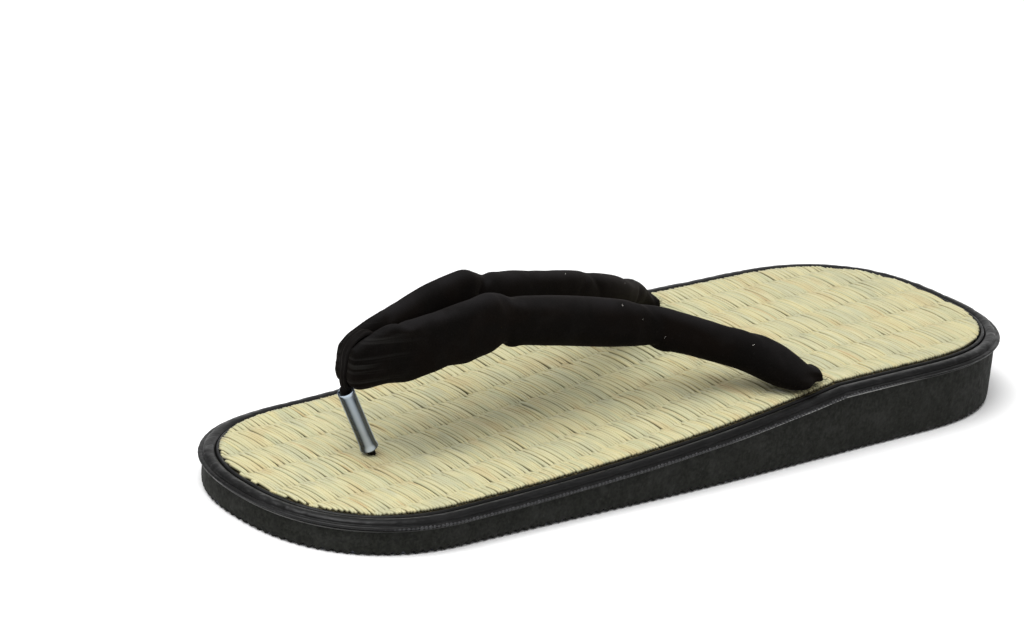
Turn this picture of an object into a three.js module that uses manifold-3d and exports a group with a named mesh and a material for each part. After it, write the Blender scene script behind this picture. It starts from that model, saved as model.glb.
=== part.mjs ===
// Zori: a flat sandal with a woven rush mat on a wedge of black foam, worn by a padded V-shaped strap.
//
// Millimetres. +Y runs from heel to toe, +X to the wearer's right, +Z up. The origin is on the ground,
// under the middle of the sole. The plan outline is the same left and right of X = 0.
//
// From the ground up: foam outsole, vinyl-covered footbed with a rolled rim, piping, rush mat.
// The two padded straps join at the nose, held by a cloth loop that runs down through a clear sleeve.

import * as THREE from 'three';
import { mergeVertices } from 'three/addons/utils/BufferGeometryUtils.js';
import Module from 'manifold-3d';

// ---------------------------------------------------------------- driving dimensions

const LENGTH = 280;
const TOE_END = { halfWidth: 45.2, startY: 91.7, squareness: 2.31 };
const HEEL_END = { halfWidth: 46.6, startY: -85.7, squareness: 2.56 };
const SIDE_SWELL = { share: 0.032, spread: 55 };       // the sides bow out a little at mid-length

const TOE_HEIGHT = 11;                                 // mat edge above the ground
const HEEL_HEIGHT = 22;
const RAMP = { toeY: 110, heelY: -50 };                // the wedge rises between these

const HALF_STEPS = 50;                                 // outline steps from toe tip to heel tip
const FIT_GAP = 0.3;                                   // air left between neighbouring pieces
const MERGE_DISTANCE = 1e-4;                           // corners nearer than this are one corner
const LENGTH_DIVISIONS = 2000;                         // for measuring along the outline
const HEADING_STEP = 0.01;                             // rows ahead and behind that give a strap's heading
const CORD_IN_LOOP = 1.6;                              // how far the cord runs up into the cloth loop

// Each table row is one line round the sole: how far inside the outermost outline, and how high.
// "rise" is measured from the mat's edge height at that place, "z" from the ground.
const OUTSOLE_LINES = [
  { inset: 2.8, z: 0 },
  { inset: 1.9, z: 0.7 },
  { inset: 1.5, z: 2.2 },
  { inset: 1.5, rise: -3.1 },
];
const FOOTBED_LINES = [
  { inset: 2.4, rise: -2.8 },
  { inset: 1.2, rise: -2.75 },
  { inset: 0.35, rise: -2.4 },
  { inset: 0, rise: -1.8 },
  { inset: 0.35, rise: -1.2 },
  { inset: 1.1, rise: -0.7 },
  { inset: 2.1, rise: -0.45 },
  { inset: 3.1, rise: -0.6 },
  { inset: 3.75, rise: -1.0 },
  { inset: 3.9, rise: -1.8 },
];
const BINDING_LINES = [
  { inset: 4.2, rise: -1.5 },
  { inset: 4.15, rise: -0.6 },
  { inset: 4.5, rise: 0.05 },
  { inset: 5.15, rise: 0.3 },
  { inset: 5.8, rise: 0.05 },
  { inset: 6.1, rise: -0.6 },
  { inset: 6.05, rise: -1.5 },
];
const MAT_LINES = [
  { inset: 6.4, rise: -1.5 },
  { inset: 6.4, rise: -0.75 },
  { inset: 6.9, rise: -0.2 },
  { inset: 8.2, rise: 0 },
];

// The right strap, nose to tail. x and y are the middle of the section, low and high its edges,
// thick its padding, lean how far the top edge tips towards the middle of the foot (degrees).
// lift is how much higher the right strap's top edge stands than the left one's.
// The narrow rows at y = 55 and y = 3 are the two folds.
const STRAP_ROWS = [
  { y: 104.2, x: 2.5, low: 36.2, high: 47.4, thick: 4.4, lean: 0, lift: 0.0 },
  { y: 102.8, x: 2.5, low: 33.6, high: 49.4, thick: 5.4, lean: 0, lift: 0.0 },
  { y: 99.0, x: 2.6, low: 33.1, high: 50.8, thick: 5.8, lean: 1, lift: 0.2 },
  { y: 93.0, x: 3.0, low: 34.0, high: 51.9, thick: 5.8, lean: 2, lift: 0.6 },
  { y: 86.0, x: 3.9, low: 34.7, high: 52.0, thick: 6.8, lean: 3, lift: 1.9 },
  { y: 76.0, x: 5.2, low: 36.6, high: 53.2, thick: 8.0, lean: 4, lift: 3.5 },
  { y: 66.0, x: 6.1, low: 38.0, high: 54.9, thick: 8.6, lean: 5, lift: 3.8 },
  { y: 59.0, x: 6.5, low: 38.9, high: 56.3, thick: 8.8, lean: 5, lift: 3.2 },
  { y: 55.0, x: 6.9, low: 40.2, high: 55.3, thick: 7.4, lean: 6, lift: 2.8 },
  { y: 51.0, x: 7.2, low: 39.2, high: 53.8, thick: 8.4, lean: 6, lift: 2.9 },
  { y: 46.0, x: 7.6, low: 38.7, high: 53.3, thick: 9.0, lean: 6, lift: 2.8 },
  { y: 34.0, x: 8.7, low: 36.8, high: 51.9, thick: 9.2, lean: 7, lift: 2.1 },
  { y: 20.0, x: 10.4, low: 34.9, high: 49.4, thick: 9.2, lean: 9, lift: 1.8 },
  { y: 9.0, x: 12.3, low: 33.8, high: 47.0, thick: 9.0, lean: 12, lift: 1.6 },
  { y: 3.0, x: 13.6, low: 33.4, high: 45.3, thick: 7.8, lean: 14, lift: 1.3 },
  { y: -3.0, x: 15.4, low: 31.4, high: 43.8, thick: 9.0, lean: 16, lift: 1.2 },
  { y: -12.0, x: 18.9, low: 29.2, high: 40.9, thick: 9.2, lean: 20, lift: 0.7 },
  { y: -21.0, x: 23.8, low: 26.4, high: 37.9, thick: 9.2, lean: 26, lift: -0.6 },
  { y: -28.0, x: 28.4, low: 23.8, high: 35.5, thick: 9.0, lean: 32, lift: -1.4 },
  { y: -33.0, x: 32.6, low: 21.7, high: 32.8, thick: 8.8, lean: 36, lift: -1.4 },
  { y: -37.0, x: 35.6, low: 21.3, high: 29.8, thick: 8.8, lean: 42, lift: -0.6 },
  { y: -40.6, x: 37.2, low: 21.7, high: 27.9, thick: 8.2, lean: 40, lift: 0 },
  { y: -43.4, x: 37.8, low: 22.2, high: 27.4, thick: 6.4, lean: 34, lift: 0 },
];
const STRAP_SIDES = 14;                                // corners round one section
const STRAP_SQUARENESS = 2.5;                          // 2 is an ellipse
const STEPS_PER_ROW = 2;
const END_TAPER = { reach: 1.3, share: 0.6 };         // each end closes in this far past its last row

const TAIL = { x: 35.4, y: -38.0, length: 7, thick: 3, turn: 36, top: 24.5, bottom: 14.6 };

// The cloth loop round the nose, in the plane X = 0, as a closed round of folds.
const LOOP_ROWS = [
  { y: 104.6, z: 33.6, width: 2.8 },
  { y: 105.9, z: 37.0, width: 2.6 },
  { y: 105.6, z: 40.6, width: 4.2 },
  { y: 105.2, z: 44.2, width: 5.6 },
  { y: 104.4, z: 47.4, width: 6.0 },
  { y: 101.4, z: 49.6, width: 6.0 },
  { y: 97.2, z: 50.9, width: 6.0 },
  { y: 93.2, z: 50.8, width: 5.6 },
  { y: 92.2, z: 47.8, width: 5.0 },
  { y: 94.6, z: 42.8, width: 4.4 },
  { y: 98.2, z: 37.6, width: 3.6 },
  { y: 102.0, z: 34.6, width: 2.8 },
];
const LOOP_THICK = 1.2;

const SLEEVE = { foot: [93.6, 13.6], head: [104.2, 32.4], outerR: 2.5, boreR: 1.9, flareR: 2.9, flareLength: 2 };
const CORD = { radius: 1.45, footZ: 5 };               // the loop's two ends, run together through the sleeve
const ROUND_SIDES = 20;

const COLOURS = {
  foam: { color: 0x1c1c1b, roughness: 0.85 },
  vinyl: { color: 0x121213, roughness: 0.35 },
  piping: { color: 0x161617, roughness: 0.45 },
  rush: { color: 0xc9be8e, roughness: 0.7 },
  velvet: { color: 0x0b0a0b, roughness: 0.95 },
  ribbon: { color: 0x100e10, roughness: 0.9 },
  clearPlastic: { color: 0xc8d4dc, roughness: 0.15 },
};

// ---------------------------------------------------------------- solids

const manifold = await Module();
manifold.setup();

function toSolid(geometry) {
  const bare = geometry.clone();
  bare.deleteAttribute('normal');
  bare.deleteAttribute('uv');
  const merged = mergeVertices(bare, MERGE_DISTANCE);
  return new manifold.Manifold(new manifold.Mesh({
    numProp: 3,
    vertProperties: new Float32Array(merged.attributes.position.array),
    triVerts: new Uint32Array(merged.index.array),
  }));
}

function toGeometry(solid) {
  const mesh = solid.getMesh();
  const geometry = new THREE.BufferGeometry();
  geometry.setAttribute('position', new THREE.BufferAttribute(mesh.vertProperties, 3));
  geometry.setIndex(new THREE.BufferAttribute(mesh.triVerts, 1));
  return geometry;
}

function fromCorners(corners, triangles) {
  const geometry = new THREE.BufferGeometry();
  geometry.setAttribute('position', new THREE.Float32BufferAttribute(corners.flat(), 3));
  geometry.setIndex(triangles.flat());
  return geometry;
}

// Joins rings of equal size into a tube. Rings run so that the outside is to the right of
// "along the ring, then on to the next ring"; closed also joins the last ring to the first.
function tubeFaces(ringCount, sides, closed) {
  const faces = [];
  const bands = closed ? ringCount : ringCount - 1;
  for (let band = 0; band < bands; band++) {
    const here = band * sides;
    const next = ((band + 1) % ringCount) * sides;
    for (let i = 0; i < sides; i++) {
      const j = (i + 1) % sides;
      faces.push([here + i, next + i, next + j]);
      faces.push([here + i, next + j, here + j]);
    }
  }
  return faces;
}

// ---------------------------------------------------------------- the sole's shape

function matHeight(y) {
  const along = (RAMP.toeY - y) / (RAMP.toeY - RAMP.heelY);
  const share = THREE.MathUtils.clamp(along, 0, 1);
  return TOE_HEIGHT + (HEEL_HEIGHT - TOE_HEIGHT) * share ** 2;
}

function endArc(end, tipY, turn) {
  const across = end.halfWidth * Math.cos(turn) ** (2 / end.squareness);
  const along = (tipY - end.startY) * Math.sin(turn) ** (2 / end.squareness);
  return new THREE.Vector2(across, end.startY + along);
}

// The right-hand half of the outermost outline, toe tip to heel tip, in even steps.
function halfOutline() {
  const arcSteps = 200;
  const points = [];
  for (let i = arcSteps; i >= 0; i--) {
    points.push(endArc(TOE_END, LENGTH / 2, (i / arcSteps) * (Math.PI / 2)));
  }
  const sideSteps = 100;
  for (let i = 1; i < sideSteps; i++) {
    const share = i / sideSteps;
    const across = THREE.MathUtils.lerp(TOE_END.halfWidth, HEEL_END.halfWidth, share);
    points.push(new THREE.Vector2(across, THREE.MathUtils.lerp(TOE_END.startY, HEEL_END.startY, share)));
  }
  for (let i = 0; i <= arcSteps; i++) {
    points.push(endArc(HEEL_END, -LENGTH / 2, (i / arcSteps) * (Math.PI / 2)));
  }
  for (const point of points) {
    point.x *= 1 + SIDE_SWELL.share * Math.exp(-((point.y / SIDE_SWELL.spread) ** 2));
  }
  const path = new THREE.CatmullRomCurve3(points.map((point) => new THREE.Vector3(point.x, point.y, 0)));
  path.arcLengthDivisions = LENGTH_DIVISIONS;
  return path.getSpacedPoints(HALF_STEPS);
}

const HALF_OUTLINE = halfOutline();

// The whole outline moved inwards by inset: toe tip, right side, heel tip, left side.
function outline(inset) {
  const right = HALF_OUTLINE.map((point, i) => {
    if (i === 0 || i === HALF_STEPS) {
      return [0, point.y - Math.sign(point.y) * inset];
    }
    const ahead = HALF_OUTLINE[i - 1];
    const behind = HALF_OUTLINE[i + 1];
    const along = new THREE.Vector2(behind.x - ahead.x, behind.y - ahead.y).normalize();
    return [point.x + along.y * inset, point.y - along.x * inset];
  });
  const left = right.slice(1, HALF_STEPS).reverse().map(([x, y]) => [-x, y]);
  return [...right, ...left];
}

function lineHeight(line, y) {
  return line.z ?? matHeight(y) + line.rise;
}

function soleRings(lines) {
  return lines.map((line) => outline(line.inset).map(([x, y]) => [x, y, lineHeight(line, y)]));
}

// Closes a ring with strips across the sole, so that the cap follows the wedge. up faces the sky.
function capFaces(firstCorner, up) {
  const faces = [];
  const sides = 2 * HALF_STEPS;
  for (let i = 0; i < HALF_STEPS; i++) {
    const right = firstCorner + i;
    const nextRight = right + 1;
    const left = firstCorner + ((sides - i) % sides);
    const nextLeft = firstCorner + ((sides - i - 1) % sides);
    if (left !== right) {
      faces.push(nextLeft === nextRight ? [right, left, nextRight] : [right, left, nextLeft]);
    }
    if (nextLeft !== nextRight) {
      faces.push([right, nextLeft, nextRight]);
    }
  }
  return up ? faces : faces.map(([a, b, c]) => [a, c, b]);
}

function soleLayer(lines) {
  const rings = soleRings(lines);
  const sides = 2 * HALF_STEPS;
  const faces = tubeFaces(rings.length, sides, false);
  faces.push(...capFaces(0, false));
  faces.push(...capFaces((rings.length - 1) * sides, true));
  return fromCorners(rings.flat(), faces);
}

function soleRing(lines) {
  return fromCorners(soleRings(lines).flat(), tubeFaces(lines.length, 2 * HALF_STEPS, true));
}

// ---------------------------------------------------------------- the straps

// Smooth values between the rows of a table, at place (0 to rows.length - 1).
function between(rows, column, place) {
  const row = Math.min(Math.floor(place), rows.length - 2);
  const value = (index) => rows[THREE.MathUtils.clamp(index, 0, rows.length - 1)][column];
  const t = place - row;
  const before = value(row - 1);
  const start = value(row);
  const end = value(row + 1);
  const after = value(row + 2);
  const slopeIn = (end - before) / 2;
  const slopeOut = (after - start) / 2;
  return (2 * t ** 3 - 3 * t ** 2 + 1) * start + (t ** 3 - 2 * t ** 2 + t) * slopeIn
    + (3 * t ** 2 - 2 * t ** 3) * end + (t ** 3 - t ** 2) * slopeOut;
}

function superPower(value, squareness) {
  return Math.sign(value) * Math.abs(value) ** (2 / squareness);
}

// One section of the right strap, square to its run in plan; scale shrinks it about its middle.
function strapSection(place, side, scale, push) {
  const at = (column) => between(STRAP_ROWS, column, place);
  const ahead = Math.min(place + HEADING_STEP, STRAP_ROWS.length - 1);
  const behind = Math.max(place - HEADING_STEP, 0);
  const run = new THREE.Vector2(
    between(STRAP_ROWS, 'x', ahead) - between(STRAP_ROWS, 'x', behind),
    between(STRAP_ROWS, 'y', ahead) - between(STRAP_ROWS, 'y', behind),
  ).normalize();
  const lift = side > 0 ? at('lift') : 0;
  const midZ = (at('high') + lift + at('low')) / 2;
  const halfRise = ((at('high') + lift - at('low')) / 2) * scale;
  const halfThick = (at('thick') / 2) * scale;
  const lean = THREE.MathUtils.degToRad(at('lean'));
  const leanRise = halfThick * Math.sin(lean);
  const halfTall = Math.sqrt(halfRise ** 2 - leanRise ** 2) / Math.cos(lean);
  const ring = [];
  for (let i = 0; i < STRAP_SIDES; i++) {
    const angle = (i / STRAP_SIDES) * 2 * Math.PI;
    const across = halfThick * superPower(Math.cos(angle), STRAP_SQUARENESS);
    const along = halfTall * superPower(Math.sin(angle), STRAP_SQUARENESS);
    const out = across * Math.cos(lean) - along * Math.sin(lean);
    const up = along * Math.cos(lean) + across * Math.sin(lean);
    const x = at('x') - run.y * out + run.x * push;
    const y = at('y') + run.x * out + run.y * push;
    ring.push([side * x, y, midZ + up]);
  }
  return side > 0 ? ring.reverse() : ring;
}

function strap(side) {
  const last = STRAP_ROWS.length - 1;
  const rings = [strapSection(0, side, END_TAPER.share, -END_TAPER.reach)];
  for (let step = 0; step <= last * STEPS_PER_ROW; step++) {
    rings.push(strapSection(step / STEPS_PER_ROW, side, 1, 0));
  }
  rings.push(strapSection(last, side, END_TAPER.share, END_TAPER.reach));
  const faces = tubeFaces(rings.length, STRAP_SIDES, false);
  const end = (rings.length - 1) * STRAP_SIDES;
  for (let i = 1; i < STRAP_SIDES - 1; i++) {
    faces.push([0, i, i + 1]);
    faces.push([end, end + i + 1, end + i]);
  }
  return toSolid(fromCorners(rings.flat(), faces));
}

// The flat tail that anchors a strap in the sole; grow makes the slot it sits in.
function tail(side, grow) {
  const bottom = TAIL.bottom - grow;
  const block = new THREE.BoxGeometry(TAIL.thick + 2 * grow, TAIL.length + 2 * grow, TAIL.top - bottom);
  block.rotateZ(THREE.MathUtils.degToRad(TAIL.turn) * side);
  block.translate(TAIL.x * side, TAIL.y, (TAIL.top + bottom) / 2);
  return toSolid(block);
}

// ---------------------------------------------------------------- the toe loop and its sleeve

const CORD_RUN = new THREE.Vector3(
  0,
  SLEEVE.head[0] - SLEEVE.foot[0],
  SLEEVE.head[1] - SLEEVE.foot[1],
);

// Stands a shape built along +Y on the cord's line, its origin at height z.
function alongCord(geometry, z) {
  const tilt = new THREE.Quaternion().setFromUnitVectors(
    new THREE.Vector3(0, 1, 0),
    CORD_RUN.clone().normalize(),
  );
  const share = (z - SLEEVE.foot[1]) / CORD_RUN.z;
  geometry.applyQuaternion(tilt);
  geometry.translate(0, SLEEVE.foot[0] + CORD_RUN.y * share, z);
  return geometry;
}

function cord(radius, fromZ, toZ) {
  const length = (toZ - fromZ) * (CORD_RUN.length() / CORD_RUN.z);
  const rod = new THREE.CylinderGeometry(radius, radius, length, ROUND_SIDES);
  rod.translate(0, length / 2, 0);
  return toSolid(alongCord(rod, fromZ));
}

// The loop as a flat band, closed on itself; grow makes the space it needs in the nose.
function loopBand(grow) {
  const steps = LOOP_ROWS.length * 2;
  const centre = new THREE.CatmullRomCurve3(
    LOOP_ROWS.map((row) => new THREE.Vector3(row.width, row.y, row.z)),
    true,
  );
  const corners = [];
  for (let i = 0; i < steps; i++) {
    const point = centre.getPoint(i / steps);
    const run = centre.getTangent(i / steps);
    const outwards = new THREE.Vector2(run.z, -run.y).normalize();
    const halfWidth = point.x / 2 + grow;
    const halfThick = LOOP_THICK / 2 + grow;
    for (const [across, out] of [[1, 1], [1, -1], [-1, -1], [-1, 1]]) {
      corners.push([
        across * halfWidth,
        point.y + outwards.x * out * halfThick,
        point.z + outwards.y * out * halfThick,
      ]);
    }
  }
  return toSolid(fromCorners(corners, tubeFaces(steps, 4, true)));
}

function sleeve() {
  const length = CORD_RUN.length();
  const profile = [
    [SLEEVE.boreR, 0],
    [SLEEVE.flareR, 0],
    [SLEEVE.outerR, SLEEVE.flareLength],
    [SLEEVE.outerR, length],
    [SLEEVE.boreR, length],
    [SLEEVE.boreR, 0],
  ].map(([radius, along]) => new THREE.Vector2(radius, along));
  return toSolid(alongCord(new THREE.LatheGeometry(profile, ROUND_SIDES), SLEEVE.foot[1]));
}

// ---------------------------------------------------------------- the pieces

const BOTH_SIDES = [-1, 1];

function drill(layer, clearance) {
  let solid = toSolid(layer).subtract(cord(CORD.radius + clearance, CORD.footZ - clearance, SLEEVE.foot[1]));
  for (const side of BOTH_SIDES) {
    solid = solid.subtract(tail(side, clearance));
  }
  return toGeometry(solid);
}

function upper() {
  const [left, right] = BOTH_SIDES.map((side) => strap(side).add(tail(side, 0)));
  return toGeometry(left.add(right).subtract(loopBand(FIT_GAP)));
}

function toeLoop() {
  return toGeometry(loopBand(0).add(cord(CORD.radius, CORD.footZ, SLEEVE.head[1] + CORD_IN_LOOP)));
}

function piece(name, geometry, colour) {
  const mesh = new THREE.Mesh(geometry, new THREE.MeshStandardMaterial({ metalness: 0, ...colour }));
  mesh.name = name;
  return mesh;
}

const sandal = new THREE.Group();
sandal.add(piece('outsole', drill(soleLayer(OUTSOLE_LINES), FIT_GAP), COLOURS.foam));
sandal.add(piece('footbed', drill(soleLayer(FOOTBED_LINES), FIT_GAP), COLOURS.vinyl));
sandal.add(piece('binding', soleRing(BINDING_LINES), COLOURS.piping));
sandal.add(piece('mat', drill(soleLayer(MAT_LINES), FIT_GAP), COLOURS.rush));
sandal.add(piece('upper', upper(), COLOURS.velvet));
sandal.add(piece('toe_loop', toeLoop(), COLOURS.ribbon));
sandal.add(piece('toe_sleeve', toGeometry(sleeve()), COLOURS.clearPlastic));

export default sandal;
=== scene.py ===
"""Zori sandal: a woven rush mat on a wedge of black foam, worn by a padded velvet strap.

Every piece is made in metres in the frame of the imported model, which stands under it.
+Y runs from heel to toe, +X to the wearer's right, +Z up.
"""

import math

import bmesh
import bpy
import numpy as np
from bpy.props import FloatProperty, FloatVectorProperty, IntProperty, PointerProperty
from mathutils import Matrix, Vector, noise


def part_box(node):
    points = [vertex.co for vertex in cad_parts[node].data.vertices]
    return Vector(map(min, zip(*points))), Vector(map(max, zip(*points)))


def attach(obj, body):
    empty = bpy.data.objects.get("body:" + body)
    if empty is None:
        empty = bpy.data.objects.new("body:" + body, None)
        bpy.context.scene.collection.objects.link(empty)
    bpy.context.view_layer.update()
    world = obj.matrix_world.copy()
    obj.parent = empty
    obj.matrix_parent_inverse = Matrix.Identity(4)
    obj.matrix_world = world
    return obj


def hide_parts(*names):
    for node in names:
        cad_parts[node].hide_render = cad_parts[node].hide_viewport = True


bl_info = {
    "name": "Zori sandal",
    "version": (1, 0, 0),
    "blender": (4, 5, 0),
    "location": "View3D > Sidebar > Zori",
    "description": "Builds a rush-topped zori with a padded velvet strap",
    "category": "Object",
}

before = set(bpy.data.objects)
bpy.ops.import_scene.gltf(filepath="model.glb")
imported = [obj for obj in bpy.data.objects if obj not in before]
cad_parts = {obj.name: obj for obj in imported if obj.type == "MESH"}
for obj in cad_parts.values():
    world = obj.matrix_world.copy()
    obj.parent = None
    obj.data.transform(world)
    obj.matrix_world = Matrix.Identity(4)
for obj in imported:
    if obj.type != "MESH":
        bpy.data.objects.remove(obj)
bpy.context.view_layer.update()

MM = 0.001
BODY = "root"
SIDES = {"left": -1, "right": 1}

# ------------------------------------------------------------------ driving dimensions, in millimetres

HALF_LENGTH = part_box("footbed")[1].y / MM
TOE_END = {"half_width": 45.2, "start": 91.7, "squareness": 2.31}
HEEL_END = {"half_width": 46.6, "start": -85.7, "squareness": 2.56}
SIDE_SWELL = {"share": 0.032, "spread": 55}
TOE_HEIGHT = 11
HEEL_HEIGHT = 22
RAMP_TOE = 110
RAMP_HEEL = -50
HALF_STEPS = 600
ROUND = 2 * HALF_STEPS

# Lines round the sole: how far inside the outermost outline, and how high. A line is measured
# from the ground ("z") or from the mat's edge height at that place ("rise").
FOAM_LINES = [
    (5.2, 1.15, "z"), (4.4, 0.95, "z"), (3.9, 0.6, "z"), (3.2, 0.45, "z"), (2.6, 0.5, "z"), (2.1, 0.75, "z"),
    (1.75, 1.2, "z"), (1.55, 2.0, "z"), (1.5, 3.0, "z"), (1.5, 3.6, "z"), (1.5, 4.3, "z"), (1.5, -5.2),
    (1.62, -4.2), (1.66, -3.6), (1.5, -3.42), (1.45, -3.05), (2.6, -3.05),
]
LIP_LINES = [(1.6, -3.62), (1.3, -3.6), (1.16, -3.46), (1.16, -3.3), (1.3, -3.16), (1.6, -3.14)]
RIM_LINES = [
    (3.0, -2.95), (1.9, -2.92), (1.15, -2.86), (0.55, -2.72), (0.15, -2.45), (0.02, -2.12), (0.15, -1.84),
    (0.5, -1.68), (1.0, -1.68), (1.45, -1.82), (1.38, -1.46), (1.5, -1.1), (1.85, -0.78), (2.35, -0.55),
    (2.95, -0.45), (3.6, -0.5), (4.2, -0.7), (4.7, -1.05), (4.95, -1.5), (4.95, -2.0),
]
PIPING_LINES = [
    (5.15, -1.7), (5.0, -1.3), (5.05, -0.9), (5.3, -0.62), (5.65, -0.52), (6.0, -0.62), (6.22, -0.9),
    (6.22, -1.3), (6.05, -1.7),
]
MAT_LINES = [(7.3, -1.75), (7.3, -1.5), (7.6, -1.25), (8.6, -1.15)]
GATHER_LINE = (0.24, -2.3)
RIM_GROOVE_LINE = 10
SCALLOPED_LINES = 8
SCALLOP_PITCH = 2.9
SCALLOP_DEPTH = 0.55
TREAD_EDGE = 1.9
MAT_EDGE = 6.55
MAT_SHIFT = 0.6
MAT_ROWS = 8

# The right strap, nose to tail: the middle of each section, its lower and upper edges, its padding,
# how far its top edge tips inwards, in degrees, and how much higher the right strap stands.
STRAP_COLUMNS = ("y", "x", "low", "high", "thick", "lean", "lift")
STRAP_ROWS = np.array([
    (104.3, 2.5, 34.6, 46.0, 4.8, 0, 1.2), (102.8, 2.5, 33.4, 47.2, 5.4, 0, 1.4),
    (99.0, 2.6, 33.1, 48.9, 5.8, 1, 1.4), (93.0, 3.0, 33.5, 51.4, 5.8, 2, 1.2),
    (86.0, 3.9, 33.9, 52.0, 6.8, 3, 1.9), (76.0, 5.2, 35.5, 53.2, 8.0, 4, 3.5),
    (66.0, 6.1, 36.9, 54.9, 8.6, 5, 3.8), (59.0, 6.5, 38.1, 56.3, 8.8, 5, 3.2),
    (55.0, 6.9, 39.9, 55.3, 7.4, 6, 2.8), (51.0, 7.2, 39.2, 53.8, 8.4, 6, 2.9),
    (46.0, 7.6, 38.7, 53.3, 9.0, 6, 2.8), (34.0, 8.7, 36.8, 51.9, 9.2, 7, 2.1),
    (20.0, 10.4, 34.9, 49.4, 9.2, 9, 1.8), (9.0, 12.3, 33.8, 47.0, 9.0, 12, 1.6),
    (3.0, 13.6, 33.4, 45.3, 7.8, 14, 1.3), (-3.0, 15.4, 31.4, 43.8, 9.0, 16, 1.2),
    (-12.0, 18.9, 29.2, 40.9, 9.2, 20, 0.7), (-21.0, 23.8, 26.4, 37.9, 9.2, 26, -0.6),
    (-28.0, 28.4, 23.8, 35.9, 9.0, 32, -1.4), (-33.0, 32.3, 21.6, 33.5, 9.2, 36, -1.4),
    (-37.0, 34.8, 21.4, 30.9, 9.4, 38, -0.6), (-40.6, 36.2, 21.5, 27.8, 9.2, 34, 0.0),
    (-42.8, 36.6, 21.6, 27.0, 8.8, 28, 0.0),
], float)
STRAP_LAST = len(STRAP_ROWS) - 1
STRAP_ROUNDNESS = 2.35
STRAP_SIDES = 32
STRAP_STEP = 1.25
# How the two ends close: the size of each last section, and how far it is pushed out.
STRAP_NOSE = [(0.45, -1.35), (0.8, -1.2), (0.94, -0.7)]
STRAP_TAIL = [(0.98, 0.4), (0.9, 0.75), (0.66, 0.95), (0.28, 1.0)]

# Creases: y, turn round the section in degrees (0 outboard, 90 top), half width along the strap and
# round it, depth (inwards is negative), and how far the crease slants along the strap per radian.
CREASES = {
    "left": [
        (55.0, 255, 1.0, 0.8, -1.6, -1.0), (51.8, 255, 1.6, 0.8, 0.7, -1.0),
        (56.5, 60, 1.6, 0.7, -0.7, 2.0), (3.0, 262, 1.1, 0.9, -1.1, -2.0), (0.2, 262, 1.8, 0.9, 0.7, -2.0),
        (4.0, 60, 1.8, 0.9, -0.55, 3.0), (8.0, 80, 1.4, 0.8, -0.4, -4.0),
        (90.0, 110, 1.5, 0.7, -0.7, 3.0), (-28.0, 70, 1.8, 0.8, -0.5, 3.0),
        (-40.0, 325, 5.0, 0.24, -0.6, 0.0),
        (86.0, 262, 4.0, 0.9, 0.5, 0.0), (74.0, 262, 2.4, 0.9, -0.55, 0.0), (67.0, 262, 2.4, 0.9, 0.45, 0.0),
    ],
    "right": [
        (54.5, 150, 1.1, 1.2, -1.1, 3.5), (51.5, 150, 1.8, 1.1, 0.5, 3.5),
        (2.0, 140, 1.3, 0.9, -0.4, -3.0), (-29.0, 130, 1.5, 0.8, -1.0, 4.0), (90.0, 120, 1.5, 0.8, -0.8, 2.0),
        (9.0, 130, 1.4, 0.8, -0.5, 4.0),
    ],
}
# Pleats at the nose: their height, how far back they run, and their depth.
PLEATS = [(36.2, 13.0, 0.65), (38.9, 15.0, 0.75), (41.4, 11.0, 0.7), (43.6, 8.0, 0.55)]
PLEAT_START = 103

# Pulls: a place, how far the cloth there is moved, and how far round it the move reaches.
STRAP_PULLS = {
    "left": [((-38.5, -34.5, 22.4), (-5.0, -1.4, -0.4), 5.0), ((-41.5, -43.0, 21.6), (-3.0, -1.9, -0.3), 3.6),
             ((-35.6, -44.0, 27.2), (-0.4, 1.3, 1.5), 2.6)],
    "right": [((37.8, -43.4, 24.5), (-4.0, -2.0, -0.3), 7.5), ((33.5, -45.8, 27.0), (0.2, 1.5, -0.7), 4.0)],
}
CLOTH_FRAMES = 20

# The cloth loop round the nose, in the plane X = 0: y, z and width.
LOOP_ROWS = np.array([
    (104.6, 33.6, 2.8), (105.8, 37.0, 2.6), (105.8, 40.6, 3.0), (105.5, 44.0, 3.5),
    (104.4, 46.7, 3.9), (102.4, 48.3, 4.0), (99.6, 49.2, 3.8), (97.0, 48.4, 3.6),
    (96.0, 45.8, 3.2), (96.6, 41.8, 3.2), (98.6, 37.6, 3.2), (102.0, 34.6, 2.8),
], float)
LOOP_STEPS = 96
LOOP_POINTS_ACROSS = 9
LOOP_THICKNESS = 1.0

SLEEVE_FOOT = Vector((0, 93.6, 13.6))
SLEEVE_HEAD = Vector((0, 104.2, 32.4))
SLEEVE_LENGTH = (SLEEVE_HEAD - SLEEVE_FOOT).length
SLEEVE_SIDES = 48
# The sleeve's wall: radius and height, up the outside from the flared foot and down the bore.
SLEEVE_PROFILE = [
    (1.95, 0.1), (2.1, 0.0), (2.62, 0.0), (2.74, 0.12), (2.72, 0.4), (2.56, 1.2), (2.48, 2.2), (2.46, 6.0),
    (2.46, SLEEVE_LENGTH - 1.0), (2.44, SLEEVE_LENGTH - 0.2), (2.34, SLEEVE_LENGTH), (2.08, SLEEVE_LENGTH),
    (1.98, SLEEVE_LENGTH - 0.2), (1.95, SLEEVE_LENGTH - 1.0), (1.95, 6.0), (1.95, 1.0),
]
CORD_SIDES = 16
CORD_STEPS = 60
CORD_BELOW_SLEEVE = 8.5
CORD_ABOVE_SLEEVE = 1.8

# Stray fibres at the strap's ends.
FIBRE_COUNT = 26
FIBRE_RINGS = 5
FIBRE_RADIUS = 0.09

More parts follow.
